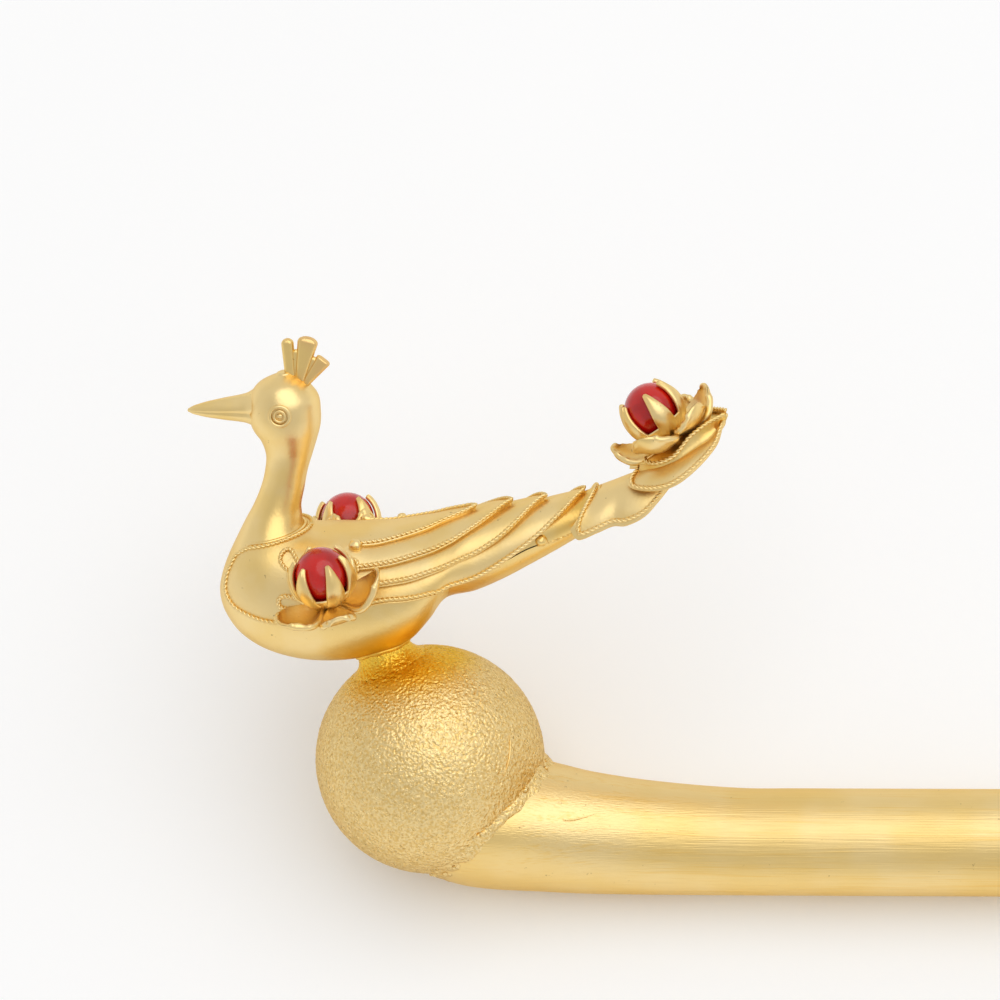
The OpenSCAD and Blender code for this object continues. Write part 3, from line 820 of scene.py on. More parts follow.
seam_rings = [seam_ring(angle) for angle in all_round(ROOT_SIDES * 3)]
seam_parts = [loft(seam_rings, closed=True)]
for k in range(DROPS):
    ring = int((k + 0.7 * math.sin(5.1 * k)) * len(seam_rings) / DROPS) % len(seam_rings)
    at = seam_rings[ring][3 + round(2 * math.sin(1.7 * k))]
    seam_parts.append(drop(at, 0.09 + 0.08 * math.sin(2.3 * k) ** 2, k, 0.8, at))
piece("seam_solder", seam_parts, "frosted_gold", "trim_gold", crease=SMOOTH)

# %% [markdown]
# Scratches
#
# Use has left a few marks: a fine curved one on the ball and a short one on the shank's root. A dark line
# in the finish could stand for them, but a scratch pushes metal up at its side, and that edge is what
# shines. So each is a thin raised burr.

# %% Scratches
# Points that each scratch runs through, in the pin's own frame
SCRATCHES = [
    ((4.47, 2.35, 2.80), (4.52, 1.35, 3.34), (4.23, 0.39, 3.91)),
    ((7.03, -2.11, 2.96), (7.50, -2.22, 2.87), (8.72, -2.04, 2.35)),
]
BURR_R = 0.035 * np.sin(np.linspace(0.1, np.pi - 0.1, 40))
scratch_parts = []
for a, b, c in np.array(SCRATCHES):
    path = [a * (1 - t) ** 2 + (4 * b - a - c) * t * (1 - t) + c * t ** 2 for t in np.linspace(0, 1, 40)]
    scratch_parts.append(tube(path, BURR_R, 8))
piece("scratches", scratch_parts, "rope_gold", "brushed_gold")

# %% [markdown]
# The wing plate
#
# One plate of sheet metal lies over the back and shoulders like a saddle. On each side it was worked into
# four rows of feathers. Each feather could be its own leaf, but the real ones are one sheet. Each row rises
# towards its lower edge and then steps down to the next, and near the ridge its tip flares up. The rows'
# edges are four lines on the skin, so the plate is a grid whose columns follow those lines, and its height
# above the skin is a function of the place between two lines.

# %% Feather lines
# Pairs of a section number and an angle from the ridge
LINES = [
    [[11, 40], [15.8, 35], [18.2, 27], [20.2, 19.5], [21.8, 11.5], [22.6, 5], [22.9, 0], [25, -40],
     [28, -60]],
    [[11, 66], [15.8, 60], [17.1, 56], [18.5, 53], [20, 50], [21.5, 50], [22.4, 48], [23, 43.5], [23.6, 34],
     [24.15, 20], [24.7, 0], [26.5, -45], [28, -70]],
    [[11, 84], [17.3, 72], [18.6, 70], [19.8, 70], [21.2, 72], [22.1, 76], [23, 80], [23.5, 78], [24, 72.5],
     [24.5, 65], [24.95, 53.5], [25.4, 37], [25.9, 14], [26.2, 0], [27.4, -55], [28, -80]],
    [[11, 108], [11.3, 122], [12.1, 133], [13.2, 136], [14.4, 131], [15.3, 123], [16.2, 114], [17.5, 95],
     [18.85, 84.5], [20.2, 87], [21.6, 96], [22.7, 110], [23.3, 113], [23.8, 110.5], [24.3, 106.5],
     [24.7, 102], [25.2, 95.5], [25.7, 88], [26.2, 78], [26.7, 64], [27.2, 46], [27.7, 18], [28, 4]],
]
WING_START, WING_END, WING_SECTIONS = 11.25, 28.0, 230
# heights above the skin: the plate's top, and its underside over the back and at the tips
WING_TOP, WING_LOW, TIPS_LOW = 0.35, -0.06, 0.10
WING_T = 0.12
FEATHER_STEP, STEP_START, STEP_GROW = 0.19, 15.3, 1.2
TIP_FLARE, FLARE_START, FLARE_GROW, FLARE_SPREAD = 0.12, 20.0, 2.5, 30.0
FIRST_TIP_START, FIRST_TIP_GROW = 20.3, 2.6
LAST_ROW_FLARE, LAST_ROW_EXTRA = 0.2, 9.0
# degrees: how far the edge is rounded, the wall of a step, and the least gap between lines at the ridge
EDGE_ROUND, WALL, LINE_GAP = 1.6, 0.6, 1.5
EDGE_DIP = 0.05
# Sections where the plate lifts off the back, and columns of each feather row
TIPS_START, TIPS_GROW = 21, 3
ROW_COLUMNS = 8


def lines_at(s):
    """Angles of the four lines at section s."""
    return np.array([value_at(line, s) for line in LINES])


def wing_lift(s, angle):
    """Height of the wing plate above the skin."""
    angle = abs(angle)
    lower = lines_at(s)
    lower[3] += LAST_ROW_EXTRA
    row = next((k for k in range(3) if angle <= lower[k]), 3)
    part, tip = 1.0, ramp(s, FIRST_TIP_START, FIRST_TIP_GROW)
    if row > 0:
        part = tip = ramp(angle, lower[row - 1], max(lower[row] - lower[row - 1], 1e-3))
    grown = ramp(s, STEP_START, STEP_GROW)
    near_edge = ramp(angle, lower[row] - EDGE_ROUND, EDGE_ROUND)
    near_ridge = math.exp(-(angle / FLARE_SPREAD) ** 2)
    flare = TIP_FLARE * near_ridge * tip ** 2 * ramp(s, FLARE_START, FLARE_GROW)
    if row == 3:
        flare *= LAST_ROW_FLARE
    return WING_TOP - FEATHER_STEP * grown * (1 - part) ** 3 + flare - EDGE_DIP * near_edge ** 2 * grown


def wing_columns(s):
    """Angles of the plate's columns on one side, from the ridge to the edge."""
    marks = [max(angle, (k + 1) * LINE_GAP) for k, angle in enumerate(lines_at(s))]
    columns = [np.linspace(0, marks[0] - EDGE_ROUND * 0.4, ROW_COLUMNS), marks[:1]]
    for upper, lower in zip(marks, marks[1:]):
        edge = min(EDGE_ROUND * 0.4, (lower - upper - WALL) * 0.3)
        columns += [np.linspace(upper + WALL, lower - edge, ROW_COLUMNS), [lower]]
    return np.concatenate(columns)


outer, inner = [], []
for s in np.linspace(WING_START, WING_END, WING_SECTIONS):
    one_side = wing_columns(s)
    columns = np.concatenate([-one_side[:0:-1], one_side])
    lifts = np.array([wing_lift(s, angle) for angle in columns])
    low = WING_LOW + (TIPS_LOW - WING_LOW) * ramp(s, TIPS_START, TIPS_GROW)
    outer.append(skin(s, columns, lifts))
    inner.append(skin(s, columns, np.minimum(lifts - WING_T, low + np.maximum(lifts - WING_TOP, 0))))
wing_part = sheet(outer, inner)
wing_tree = tree_of(wing_part)
piece("wing_feathers", [wing_part], "feather_gold", "satin_gold", "wing_plate", crease=40)

# %% [markdown]
# Rope along the feathers
#
# A smooth wire lies right on each feather's edge, and a rope of twisted wire is set back a little from it.
# They could be curve objects with a bevel, but then each would have to be laid on the plate by eye. Here
# they take their places from the feather lines. The lowest rope starts at the nape, runs round the shoulder
# and the breast, and ends as the lowest feathers' edge. The top one begins behind the flower with a drop of
# solder.

# %% Ropes of the wing plate
ROPE_BACK, ROPE_LIFT = 3.2, 0.04
# The set-back grows over so many degrees from the ridge, and from this section on over so many sections
BACK_GROW, BACK_START, BACK_SECTIONS = 30, 14.5, 2
PATH_STEPS, COLLAR_STEPS = 90, 60
WIRE_BACK, WIRE_R, WIRE_START = 0.2, 0.055, 15.6
# Sections where each rope starts and ends
ROPE_RUNS = [(15.85, 22.85), (15.2, 24.68), (15.6, 26.18), (11.6, 27.95)]
# Where the plate's front edge runs round the neck: pairs of a section number and an angle from the ridge
COLLAR = [[10.95, 0], [11.10, 22], [11.18, 45], [11.14, 70], [11.12, 92], [11.20, 108], [11.38, 120]]
LIP_R = 0.10


def on_wing(s, angle, lift):
    """A point above the wing plate's upper side."""
    return skin(s, angle, wing_lift(s, angle) + lift)


def feather_path(line, start, end, set_back=ROPE_BACK, lift=ROPE_LIFT):
    """The path of a wire along one feather line, set back from its edge by some degrees."""
    path = []
    for s in np.linspace(start, end, PATH_STEPS):
        angle = value_at(line, s)
        back = set_back * ramp(angle, 0, BACK_GROW) * ramp(s, BACK_START, BACK_SECTIONS)
        path.append(on_wing(s, max(angle - back, 0.0), lift))
    return path


rope_parts = [tube(feather_path(line, max(start, WIRE_START), end, WIRE_BACK, 0.0), WIRE_R, 8)
              for line, (start, end) in zip(LINES, ROPE_RUNS)]
for line, run in zip(LINES[:3], ROPE_RUNS[:3]):
    rope_parts += rope(feather_path(line, *run))
collar_end = len(COLLAR) - 1
collar_places = np.linspace(0, collar_end, COLLAR_STEPS)
collar = [value_at(list(enumerate(column)), collar_places) for column in zip(*COLLAR)]
low_path = [on_wing(max(s, WING_START), angle, 0.03) for s, angle in zip(*collar)]
rope_parts += rope(low_path + feather_path(LINES[3], *ROPE_RUNS[3]))
rope_parts.append(drop(on_wing(15.75, 35.5, 0.14), 0.33, 3.0, 0.85, (0.1, 0.6, 0.8)))
lip = rows_at(COLLAR, np.linspace(0, collar_end, 40))
rope_parts.append(tube([skin(max(s, WING_START) - 0.07, angle, 0.07) for s, angle in lip], LIP_R))
pair("feather_rope", rope_parts, "rope_gold", "satin_gold", crease=SMOOTH)

# %% [markdown]
# The rump
#
# Below the wing tips a shallow trough closes the bird and carries the tail. A lofted bowl would have to be
# fitted to the body, so it is a sheet between two grids on the same skin.

# %% Rump trough
RUMP_EDGE = [[23.05, 108], [24.5, 108], [26, 100], [27, 108], [28, 112]]
RUMP_T = 0.25
RUMP_ROWS, RUMP_COLUMNS = 60, 40
rump_outer, rump_inner = [], []
for s in np.linspace(RUMP_EDGE[0][0], WING_END, RUMP_ROWS):
    edge = value_at(RUMP_EDGE, s)
    columns = np.linspace(edge, 360 - edge, RUMP_COLUMNS)
    rump_outer.append(skin(s, columns))
    rump_inner.append(skin(s, columns, -RUMP_T))
piece("rump_shell", [sheet(rump_outer, rump_inner)], "trim_gold", "satin_gold", "rump")

# %% [markdown]
# The rump's tongue and ropes
#
# The trough's upper edges carry a rope near the tail, which ends at a drop of solder. Under the wing tips
# the light would fall in behind the plates. A flat lid would show, so a hollow tongue of the same sheet
# follows the skin there and runs out below the tail plate.

# %% Rump tongue and ropes
TONGUE_T, TONGUE_WAY = 0.2, np.array([0.93, 0.37, 0.0])
RIM_START, TONGUE_START, TONGUE_ROWS = 26.2, 24.8, 30
rim = rope([skin(s, value_at(RUMP_EDGE, s), -0.08) for s in np.linspace(RIM_START, WING_END, TONGUE_ROWS)])
lug = [drop(skin(26.35, 92, 0.02), 0.30, 4.0, 1.0, UP)]
tongue = []
for s in np.linspace(TONGUE_START, WING_END, TONGUE_ROWS):
    edge = value_at(RUMP_EDGE, s) - 3
    columns = np.linspace(-edge, edge, 41)
    hollow = 0.25 - 0.24 * np.sin(np.radians(abs(columns) * 90 / edge))
    tongue.append([skin(s, columns, hollow), skin(s, columns, hollow - TONGUE_T)])
tongue += [[grid + TONGUE_WAY * out for grid in tongue[-1]] for out in (0.3, 0.6, 0.9)]
tongue_part = sheet([grids[0] for grids in tongue], [grids[1] for grids in tongue])
# The tongue and its ropes take the deeper gold that is painted shade.
piece("rump_tongue", [*rim, *mirrored(rim), *lug, *mirrored(lug), tongue_part], "painted_shade_gold", "satin_gold")

# %% [markdown]
# The tail's plates
#
# Three arched plates lie one over the other: the long tail plate with its scalloped edge, the round leaf,
# and the smaller wavy leaf that carries the flower. A flat outline could be bent by a modifier, but the
# arch and the outline change together. So each plate is a table of arches, from one edge over the ridge to
# the other, described by where its ridge and its edge run. A rope is soldered round each, and a hollow wall
# under the upper leaf closes the gap to the leaf below.

# %% Tail
# ridge_x, ridge_y, edge_x, edge_y, half_width
TAIL_PLATE = [
    [8.95, 14.30, 7.85, 12.75, 2.00],
    [9.30, 14.45, 8.25, 12.30, 2.15],
    [9.75, 14.62, 9.20, 12.65, 2.10],
    [10.30, 14.85, 9.98, 12.95, 1.95],
    [10.75, 15.02, 10.66, 13.02, 2.08],
    [11.30, 15.18, 11.60, 13.48, 2.02],
    [12.00, 15.48, 12.40, 14.30, 1.70],
    [12.70, 15.84, 12.95, 14.95, 1.30],
]
TAIL_LEAF = [
    [11.25, 15.50, 10.56, 15.11, 1.24],
    [11.65, 15.72, 11.10, 14.90, 2.00],
    [12.30, 16.07, 12.30, 14.95, 2.50],
    [12.95, 16.42, 13.40, 15.35, 2.60],
    [13.75, 16.87, 14.50, 16.20, 2.30],
    [14.50, 17.25, 15.32, 17.12, 1.80],
    [15.20, 17.58, 15.53, 17.75, 1.00],
    [15.45, 17.70, 15.57, 17.85, 0.35],
]
TAIL_DISC = [
    [11.60, 16.05, 11.25, 15.88, 0.90],
    [12.30, 16.40, 12.20, 15.98, 1.55],
    [12.92, 16.78, 13.20, 16.45, 1.75],
    [13.54, 17.14, 14.00, 17.42, 1.55],
    [14.27, 17.52, 14.75, 17.98, 1.30],
    [14.99, 17.86, 15.25, 18.14, 0.80],
    [15.45, 18.06, 15.62, 18.20, 0.35],
]
PLATE_T = 0.24
PLATE_ROWS, ARCH_COLUMNS = 90, 48
# How far across the arch a plate's rope lies, how long its corner is in rows, and its height on the plate
ROPE_ACROSS, ROPE_CORNER, ROPE_UP = 0.93, 0.9, 0.06
WALL_ACROSS, WALL_DOWN = 0.97, 0.08


def arch(table, s, across, lower=0.0):
    """A point of an arched plate: across runs from -1 at one edge over 0 at the ridge to 1 at the other."""
    ridge_x, ridge_y, edge_x, edge_y, half = rows_at(table, s)
    bend = 1 - math.cos(math.pi / 2 * across)
    x = ridge_x + (edge_x - ridge_x) * bend
    y = ridge_y - lower + (edge_y - ridge_y + lower / 2) * bend
    z = (half - lower * min(abs(across) * 4, 1)) * math.sin(math.pi / 2 * across)
    return np.array([x, y, z])


def arched_plate(table):
    """A closed plate over a table of arches."""
    across = np.linspace(-1, 1, ARCH_COLUMNS + 1)
    rows = np.linspace(0, len(table) - 1, PLATE_ROWS + 1)
    return sheet(*[[[arch(table, s, q, lower) for q in across] for s in rows] for lower in (0.0, PLATE_T)])


def edge_rope(table, start, end):
    """A rope from a plate's side, round its corners and over its ridge to the other side."""
    before = ROPE_ACROSS - 0.5
    bends = np.linspace(0, np.pi / 2, 16)
    places = [(start, q) for q in np.linspace(0, before, 14)[:-1]]
    places += [(start + ROPE_CORNER * (1 - math.cos(b)), before + 0.5 * math.sin(b)) for b in bends]
    places += [(s, ROPE_ACROSS) for s in np.linspace(start + ROPE_CORNER, end, 90)[1:]]
    half = np.array([arch(table, s, q) + (0, ROPE_UP, ROPE_UP * 0.6 * q) for s, q in places])
    return rope(np.vstack([half[:0:-1] * (1, 1, -1), half]))


def leaf_wall():
    """A hollow wall round the upper leaf, from its edge down to the leaf below."""
    last = len(TAIL_DISC) - 1
    leaf_tree = tree_of(arched_plate(TAIL_LEAF))
    side = [arch(TAIL_DISC, s, WALL_ACROSS, WALL_DOWN) for s in np.linspace(0.1, last, 70)]
    tip, front = [[arch(TAIL_DISC, s, q, WALL_DOWN) for q in np.linspace(start, -start, count)[1:-1]]
                  for s, start, count in ((last, WALL_ACROSS, 9), (0.1, -WALL_ACROSS, 25))]
    other_side = [p * (1, 1, -1) for p in side[::-1]]
    middle = arch(TAIL_DISC, last * 0.55, 0)
    rings = []
    for p in side + tip + other_side + front:
        out = unit((p - middle) * (1, 0, 1))
        foot = np.array(leaf_tree.find_nearest(Vector(p + out * 0.30 - UP * 0.5))[0])
        curve = [p + (foot - p) * (t ** 2, 1 - (1 - t) ** 2, t ** 2) for t in np.linspace(0, 1, 6)]
        rings.append([*curve, foot - out * 0.3 - UP * 0.05, p - out * 0.2])
    return loft(rings, closed=True)


piece("tail_arch", [arched_plate(TAIL_PLATE)], "feather_gold", "satin_gold", "tail_plate")
piece("tail_round_leaf", [arched_plate(TAIL_LEAF)], "feather_gold", "satin_gold", "tail_leaf")
# The wavy leaf and the wall under it take the deeper gold that is painted shade.
piece("tail_wavy_leaf", [arched_plate(TAIL_DISC), leaf_wall()], "painted_shade_gold", "satin_gold", "tail_disc")
tail_ropes = edge_rope(TAIL_PLATE, 0.15, 6.9) + edge_rope(TAIL_LEAF, 0.25, 6.9)
tail_ropes += edge_rope(TAIL_DISC, 0.2, 5.95)
piece("tail_rope", tail_ropes, "rope_gold", "satin_gold", crease=SMOOTH)

# %% [markdown]
# The beak
#
# The beak is a small cone with a groove for the mouth on each side. A groove could be cut from a cone with
# a Boolean, but its edges would be hard. Here it is part of each ring's shape, and it fades towards the
# tip.

# %% Beak
BEAK_ROOT, BEAK_TIP = np.array([-8.05, 18.50, 0.0]), np.array([-11.40, 18.40, 0.0])
# part of the length from the root, radius
BEAK = [[0.0, 1.05], [0.06, 0.90], [0.12, 0.80], [0.20, 0.73], [0.30, 0.67], [0.42, 0.61], [0.60, 0.50],
        [0.75, 0.40], [0.86, 0.30], [0.95, 0.20], [1.0, 0.11]]
# The mouth lies a little below the middle of each side, and the lower half is a little flatter
MOUTH_AT, MOUTH_DEPTH, MOUTH_WIDTH = 96.0, 0.12, 9.0
LOWER_BEAK = 0.92
BEAK_SIDES, BEAK_RINGS = 96, 50

beak_turn = all_round(BEAK_SIDES)
from_mouth = np.minimum(abs(beak_turn - MOUTH_AT), abs(360 - MOUTH_AT - beak_turn))
upper, aside = cos_sin(beak_turn)
section = np.column_stack([0 * upper, upper * np.where(upper > 0, 1, LOWER_BEAK), aside])
beak_rings = []
for t in np.linspace(0, 1, BEAK_RINGS):
    groove = 1 - MOUTH_DEPTH * np.exp(-(from_mouth / MOUTH_WIDTH) ** 2) * (1 - 0.5 * t)
    middle = BEAK_ROOT + (BEAK_TIP - BEAK_ROOT) * t
    beak_rings.append(middle + section * (value_at(BEAK, t) * groove)[:, None])
beak_rings += closing(beak_rings[-1], BEAK_TIP - BEAK_ROOT, 0.08)
piece("beak_cone", [loft(beak_rings)], "satin_gold", "trim_gold", "beak", crease=50)

# %% [markdown]
# The eyes
#
# Each eye is a ring of plain wire, a smaller ring and a dot, soldered on the head. They could be placed by
# numbers, but then they would float or sink when the head changes. So a ray from the side finds the skin,
# and everything is built on the point and the slope that it hits.

# %% Eyes
EYE_AT = (-6.54, 18.62)
# radius, thickness of the wire
EYE_RINGS = [(0.50, 0.095), (0.28, 0.068)]
EYE_DISH = [(0.44, -0.04), (0.42, 0.0), (0.2, 0.02)]
# Heights of the rings, the dot and the dish on the skin, and the dot's radius
RINGS_UP, DOT_UP, DISH_UP = 0.07, 0.02, -0.01
DOT_R = 0.15


def eye(z_side):
    """Two wire rings, a dot and a shallow dish on one side of the head."""
    hit = body_tree.ray_cast(Vector((*EYE_AT, 5 * z_side)), Vector((0, 0, -z_side)))
    at, normal = np.array(hit[0]), np.array(hit[1])
    normal *= np.sign(normal[2] * z_side)
    parts = [tube(at + normal * RINGS_UP + circle(normal, 64) * radius, wire, 14, closed=True)
             for radius, wire in EYE_RINGS]
    parts.append(drop(at + normal * DOT_UP, DOT_R, 1.0, 0.7, normal))
    return parts + [revolve(EYE_DISH, 48, normal, at + normal * DISH_UP)]


for side, z_side in (("left", 1), ("right", -1)):
    piece(f"eye_rings_{side}", eye(z_side), "satin_gold", "trim_gold", f"eye_{side}")

# %% [markdown]
# The crest
#
# The crest is three short bars of square wire, fanned out and soldered to a small cap on the crown, with
# two thinner strips between them. Scaled cubes would have even sides and knife edges, so each bar is a loft
# of rounded rectangles that widens to its end.

# %% Crest
# Each bar: where it starts and ends, its width there, its thickness, and how round its end is
CREST = [
    ((-6.16, 19.95), (-6.26, 21.86), 0.54, 0.62, 0.50, 0.9),
    ((-5.72, 19.95), (-5.24, 21.92), 0.52, 1.02, 0.56, 1.0),
    ((-5.46, 19.80), (-4.50, 20.98), 0.42, 0.78, 0.50, 0.1),
    ((-5.98, 19.90), (-5.76, 21.35), 0.30, 0.62, 0.34, 0.6),
    ((-5.52, 19.85), (-4.94, 20.95), 0.30, 0.60, 0.34, 0.6),
]
CREST_CAP = [(0.62, -0.40), (0.62, -0.10), (0.58, 0.04), (0.48, 0.12), (0.22, 0.16)]
CAP_AT, CAP_AXIS = (-5.90, 20.02, 0), (0.45, 0.9, 0)


def square_ring(width, thick):
    """Points of a rounded rectangle, as offsets across and through."""
    corner = 0.40 * min(width, thick)
    points = []
    for cx, cy, start in ((1, 1, 0), (-1, 1, 90), (-1, -1, 180), (1, -1, 270)):
        c, n = cos_sin(start + np.linspace(0, 90, 8))
        points += zip(cx * (width / 2 - corner) + corner * c, cy * (thick / 2 - corner) + corner * n)
    return np.array(points)


def bar(start, end, width_low, width_high, thick, roundness):
    """A bar of square wire that widens to its end."""
    start, end = np.array((*start, 0.0)), np.array((*end, 0.0))
    way = unit(end - start)
    axes = np.array([(way[1], -way[0], 0), (0, 0, 1)])
    rings = [start + (end - start) * t + square_ring(width_low + (width_high - width_low) * t, thick) @ axes
             for t in np.linspace(0, 1, 12)]
    for k in (0.3, 0.55, 0.78, 0.92, 0.99):
        left = math.sqrt(1 - k ** 2)
        shrink = (1 - (1 - left) * (0.35 + 0.65 * roundness), 0.4 + 0.6 * left)
        out = end + way * (0.08 + 0.2 * roundness) * k
        rings.append(out + square_ring(width_high, thick) * shrink @ axes)
    return loft(rings)


crest_parts = [bar(*row) for row in CREST] + [revolve(CREST_CAP, 48, CAP_AXIS, CAP_AT)]
piece("crest_bars", crest_parts, "trim_gold", "trim_gold", "crest", crease=30)

# %% [markdown]
# The flowers
#
# Each flower is a bud of six pointed claws that close round a coral bead, standing in open petals. They
# were cut from sheet about a third of a millimetre thick and hammered to shape, so they have thick soft
# rims. A flat plane with a Solidify modifier would give them square edges, so each is a loft of rings round
# the sheet's own cross section. The same functions make all three flowers in the flower's own frame, +Z out
# through the bead.

# %% Claws and petals
# latitude, half width in degrees of longitude, distance off the bead
CLAW = [[-62, 31, 0.13], [-51, 31, 0.14], [-43, 30.5, 0.14], [-38.5, 27.5, 0.135], [-34, 25, 0.13],
        [-26, 22.5, 0.12], [-13, 20, 0.10], [1, 17, 0.07], [13, 14, 0.05], [24, 11.5, 0.04], [32, 9.5, 0.03],
        [38, 7.5, 0.02]]
CLAW_T, PETAL_T = 0.24, 0.38
PETAL_HOLLOW, PETAL_FOLD = 0.55, 0.245
CLAW_ROWS, PETAL_ROWS = 30, 34
CLAW_RIDGE, CLAW_LEAN = 0.05, 3


def rim_ring(thick, hollow=0.0):
    """A ring round a sheet's cross section: place across from -1 to 1, extra reach, and height."""
    bend = np.linspace(-np.pi / 2, np.pi / 2, 7)[1:-1]
    flat = [(u, 0.0, thick / 2 * (1 - hollow * (1 - u ** 4))) for u in np.linspace(1, -1, 11)]
    rim = [(-1, -math.cos(b) * thick / 2, -math.sin(b) * thick / 2) for b in bend]
    return np.array(flat + rim + [(-u, -out, -height) for u, out, height in flat + rim])


def sheet_rows(rows):
    """Places from 0 to 1, how far each is into a round end, and the part of the thickness left there."""
    ends = (0.5, 0.8, 0.95, 1.0)
    places = [(0, k) for k in ends[::-1]] + [(p, 0.0) for p in np.linspace(0, 1, rows)]
    places += [(1, k) for k in ends]
    return [(place, k, math.sqrt(max(1 - k ** 2, 0.01))) for place, k in places]


def claw(turn):
    """One claw on the bead, leaning a little to one side."""
    rings = []
    for place, k, left in sheet_rows(CLAW_ROWS):
        lat, half, off = rows_at(CLAW, place * (len(CLAW) - 1))
        lat = math.radians(lat + (4.0 * k if place == 1 else -2.0 * k))
        u, reach, height = rim_ring(CLAW_T * left).T
        ridge = np.where(height > 0, CLAW_RIDGE * (1 - u ** 2), 0)
        out = BEAD_R + off + CLAW_T / 2 + height + ridge
        c = math.cos(lat)
        half_mm = BEAD_R * c * math.radians(half) * (0.5 + 0.5 * left) - CLAW_T / 2
        lean = CLAW_LEAN * math.sin(turn) * place ** 2
        lon = math.radians(turn + lean) + (u * max(half_mm, 0.02) + reach) / (BEAD_R * c + 0.12)
        rings.append(np.column_stack([out * c * np.cos(lon), out * c * np.sin(lon), out * math.sin(lat)]))
    return loft(rings)


def petal(rows, turn, cup, tilt):
    """One petal, hollow towards the bead. A row is a distance from the axis, a height and a half width."""
    last = len(rows) - 1
    rings = []
    for place, k, left in sheet_rows(PETAL_ROWS):
        s = place * last
        radius, height, half = rows_at(rows, s)
        way = unit((rows_at(rows, min(s + 0.05, last)) - rows_at(rows, max(s - 0.05, 0)))[:2])
        u, reach, through = rim_ring(PETAL_T * left, PETAL_HOLLOW).T
        edge = u ** 2 * half
        lift = PETAL_T / 2 + through + cup * (1 - 0.35 * place ** 3) * edge
        along = (1 if place == 1 else -1) * k * PETAL_T / 2 - PETAL_FOLD * edge
        rings.append(np.column_stack([
            radius + way[0] * along - way[1] * lift, -u * max(half - PETAL_T / 2, 0.02) - reach,
            height + way[1] * along + way[0] * lift + tilt * u * half]))
    c, n = cos_sin(turn)
    return loft(np.array(rings) @ np.array([(c, n, 0), (-n, c, 0), (0, 0, 1)]))


# %% [markdown]
# Putting the flowers together
#
# Each petal differs a little, because it was bent by hand. An array of copies would look stamped. So a
# petal is a row of choices: where it stands, how far it reaches, how high its tip is, how wide and how
# cupped it is, and how much it tilts. One table gives the outline of all open petals, and one that of the
# closed ones.

# %% Flowers
SIDE_BEAD, SIDE_AXIS = np.array([-4.35, 11.25, 4.55]), unit((-0.15, 0.96, 0.25))
TAIL_BEAD, TAIL_AXIS = np.array([11.9, 18.4, 0.0]), unit((-0.57, 0.82, 0.0))
# distance from the axis, height, half width
OPEN_PETAL = [[0.35, -1.92, 0.24], [0.80, -1.97, 0.40], [1.30, -2.01, 0.70], [1.78, -1.96, 0.92],
              [2.20, -1.78, 1.02], [2.50, -1.48, 1.00], [2.66, -1.16, 0.86], [2.70, -0.96, 0.62]]
CLOSED_PETAL = [[0.35, -1.92, 0.24], [0.80, -1.90, 0.34], [1.30, -1.72, 0.54], [1.72, -1.28, 0.68],
                [1.92, -0.65, 0.74], [1.94, -0.14, 0.66], [1.91, 0.14, 0.56], [1.87, 0.30, 0.42]]
SIDE_CLAWS = [30, 96, 145, 208, 258, 310]
TAIL_CLAWS = [18, 78, 135, 205, 262, 320]
# where it stands, reach, rise, width, cup, tilt
SIDE_OPEN = [(142, 1.28, -0.20, 1.1, 0.40, 0.15), (197, 1.0, -0.40, 0.95, 0.10, 0.0),
             (260, 1.13, 0.50, 1.0, 0.35, -0.35)]
SIDE_CLOSED = [(75, 1.0, 0.0, 1.0, 0.40, 0.0), (315, 1.0, 0.0, 1.0, 0.40, 0.0),
               (15, 0.95, 0.0, 0.9, 0.35, 0.0)]
TAIL_OPEN = [(30, 1.0, 0.1, 1.0, 0.40, 0.0), (92, 1.11, 0.28, 0.80, 0.30, 0.33),
             (168, 1.08, 0.30, 1.20, 0.40, 0.20), (236, 1.08, -0.05, 1.10, 0.42, 0.0),
             (279, 1.13, 0.08, 1.0, 0.27, -0.36), (335, 1.0, 0.1, 1.0, 0.40, 0.0)]
# radius, height
CUP = [(0.05, -1.70), (0.62, -1.66), (1.02, -1.40), (1.30, -1.06), (1.46, -0.80), (1.42, -0.74),
       (1.30, -0.76), (1.16, -0.98), (0.92, -1.22), (0.55, -1.42), (0.05, -1.48)]
STEM = [(0.10, -2.08), (0.62, -2.06), (0.60, -1.9), (0.62, -1.60), (0.40, -1.50)]


def shaped(rows, reach, rise, width):
    """A petal's rows stretched outwards, with a raised tip and another width."""
    part = np.linspace(0, 1, len(rows))
    stretched = np.column_stack([1 + (reach - 1) * part, np.ones(len(rows)), np.full(len(rows), width)])
    return np.array(rows) * stretched + np.outer(rise * part ** 2, (0, 1, 0))


def flower(bead, axis, claws, opened, closed):
    """All of one flower's metal, in the pin's frame."""
    parts = [revolve(CUP, 72, (0, 0, 1)), revolve(STEM, 48, (0, 0, 1))]
    parts += [claw(turn) for turn in claws]
    for rows, choices in ((OPEN_PETAL, opened), (CLOSED_PETAL, closed)):
        parts += [petal(shaped(rows, *shape), turn, cup, tilt) for turn, *shape, cup, tilt in choices]
    polar, around = math.acos(axis[2]), math.atan2(axis[1], axis[0])
    own_x = (math.cos(polar) * math.cos(around), math.cos(polar) * math.sin(around), -math.sin(polar))
    own_axes = np.array([own_x, (-math.sin(around), math.cos(around), 0), axis])
    return [outward(points @ own_axes + bead, faces) for points, faces in parts]


side_flower = flower(SIDE_BEAD, SIDE_AXIS, SIDE_CLAWS, SIDE_OPEN, SIDE_CLOSED)
pair("flower", side_flower, "petal_gold", "trim_gold", "setting", crease=60)
tail_flower = flower(TAIL_BEAD, TAIL_AXIS, TAIL_CLAWS, TAIL_OPEN, [])
piece("flower_tail", tail_flower, "petal_gold", "trim_gold", "setting_tail", crease=60)

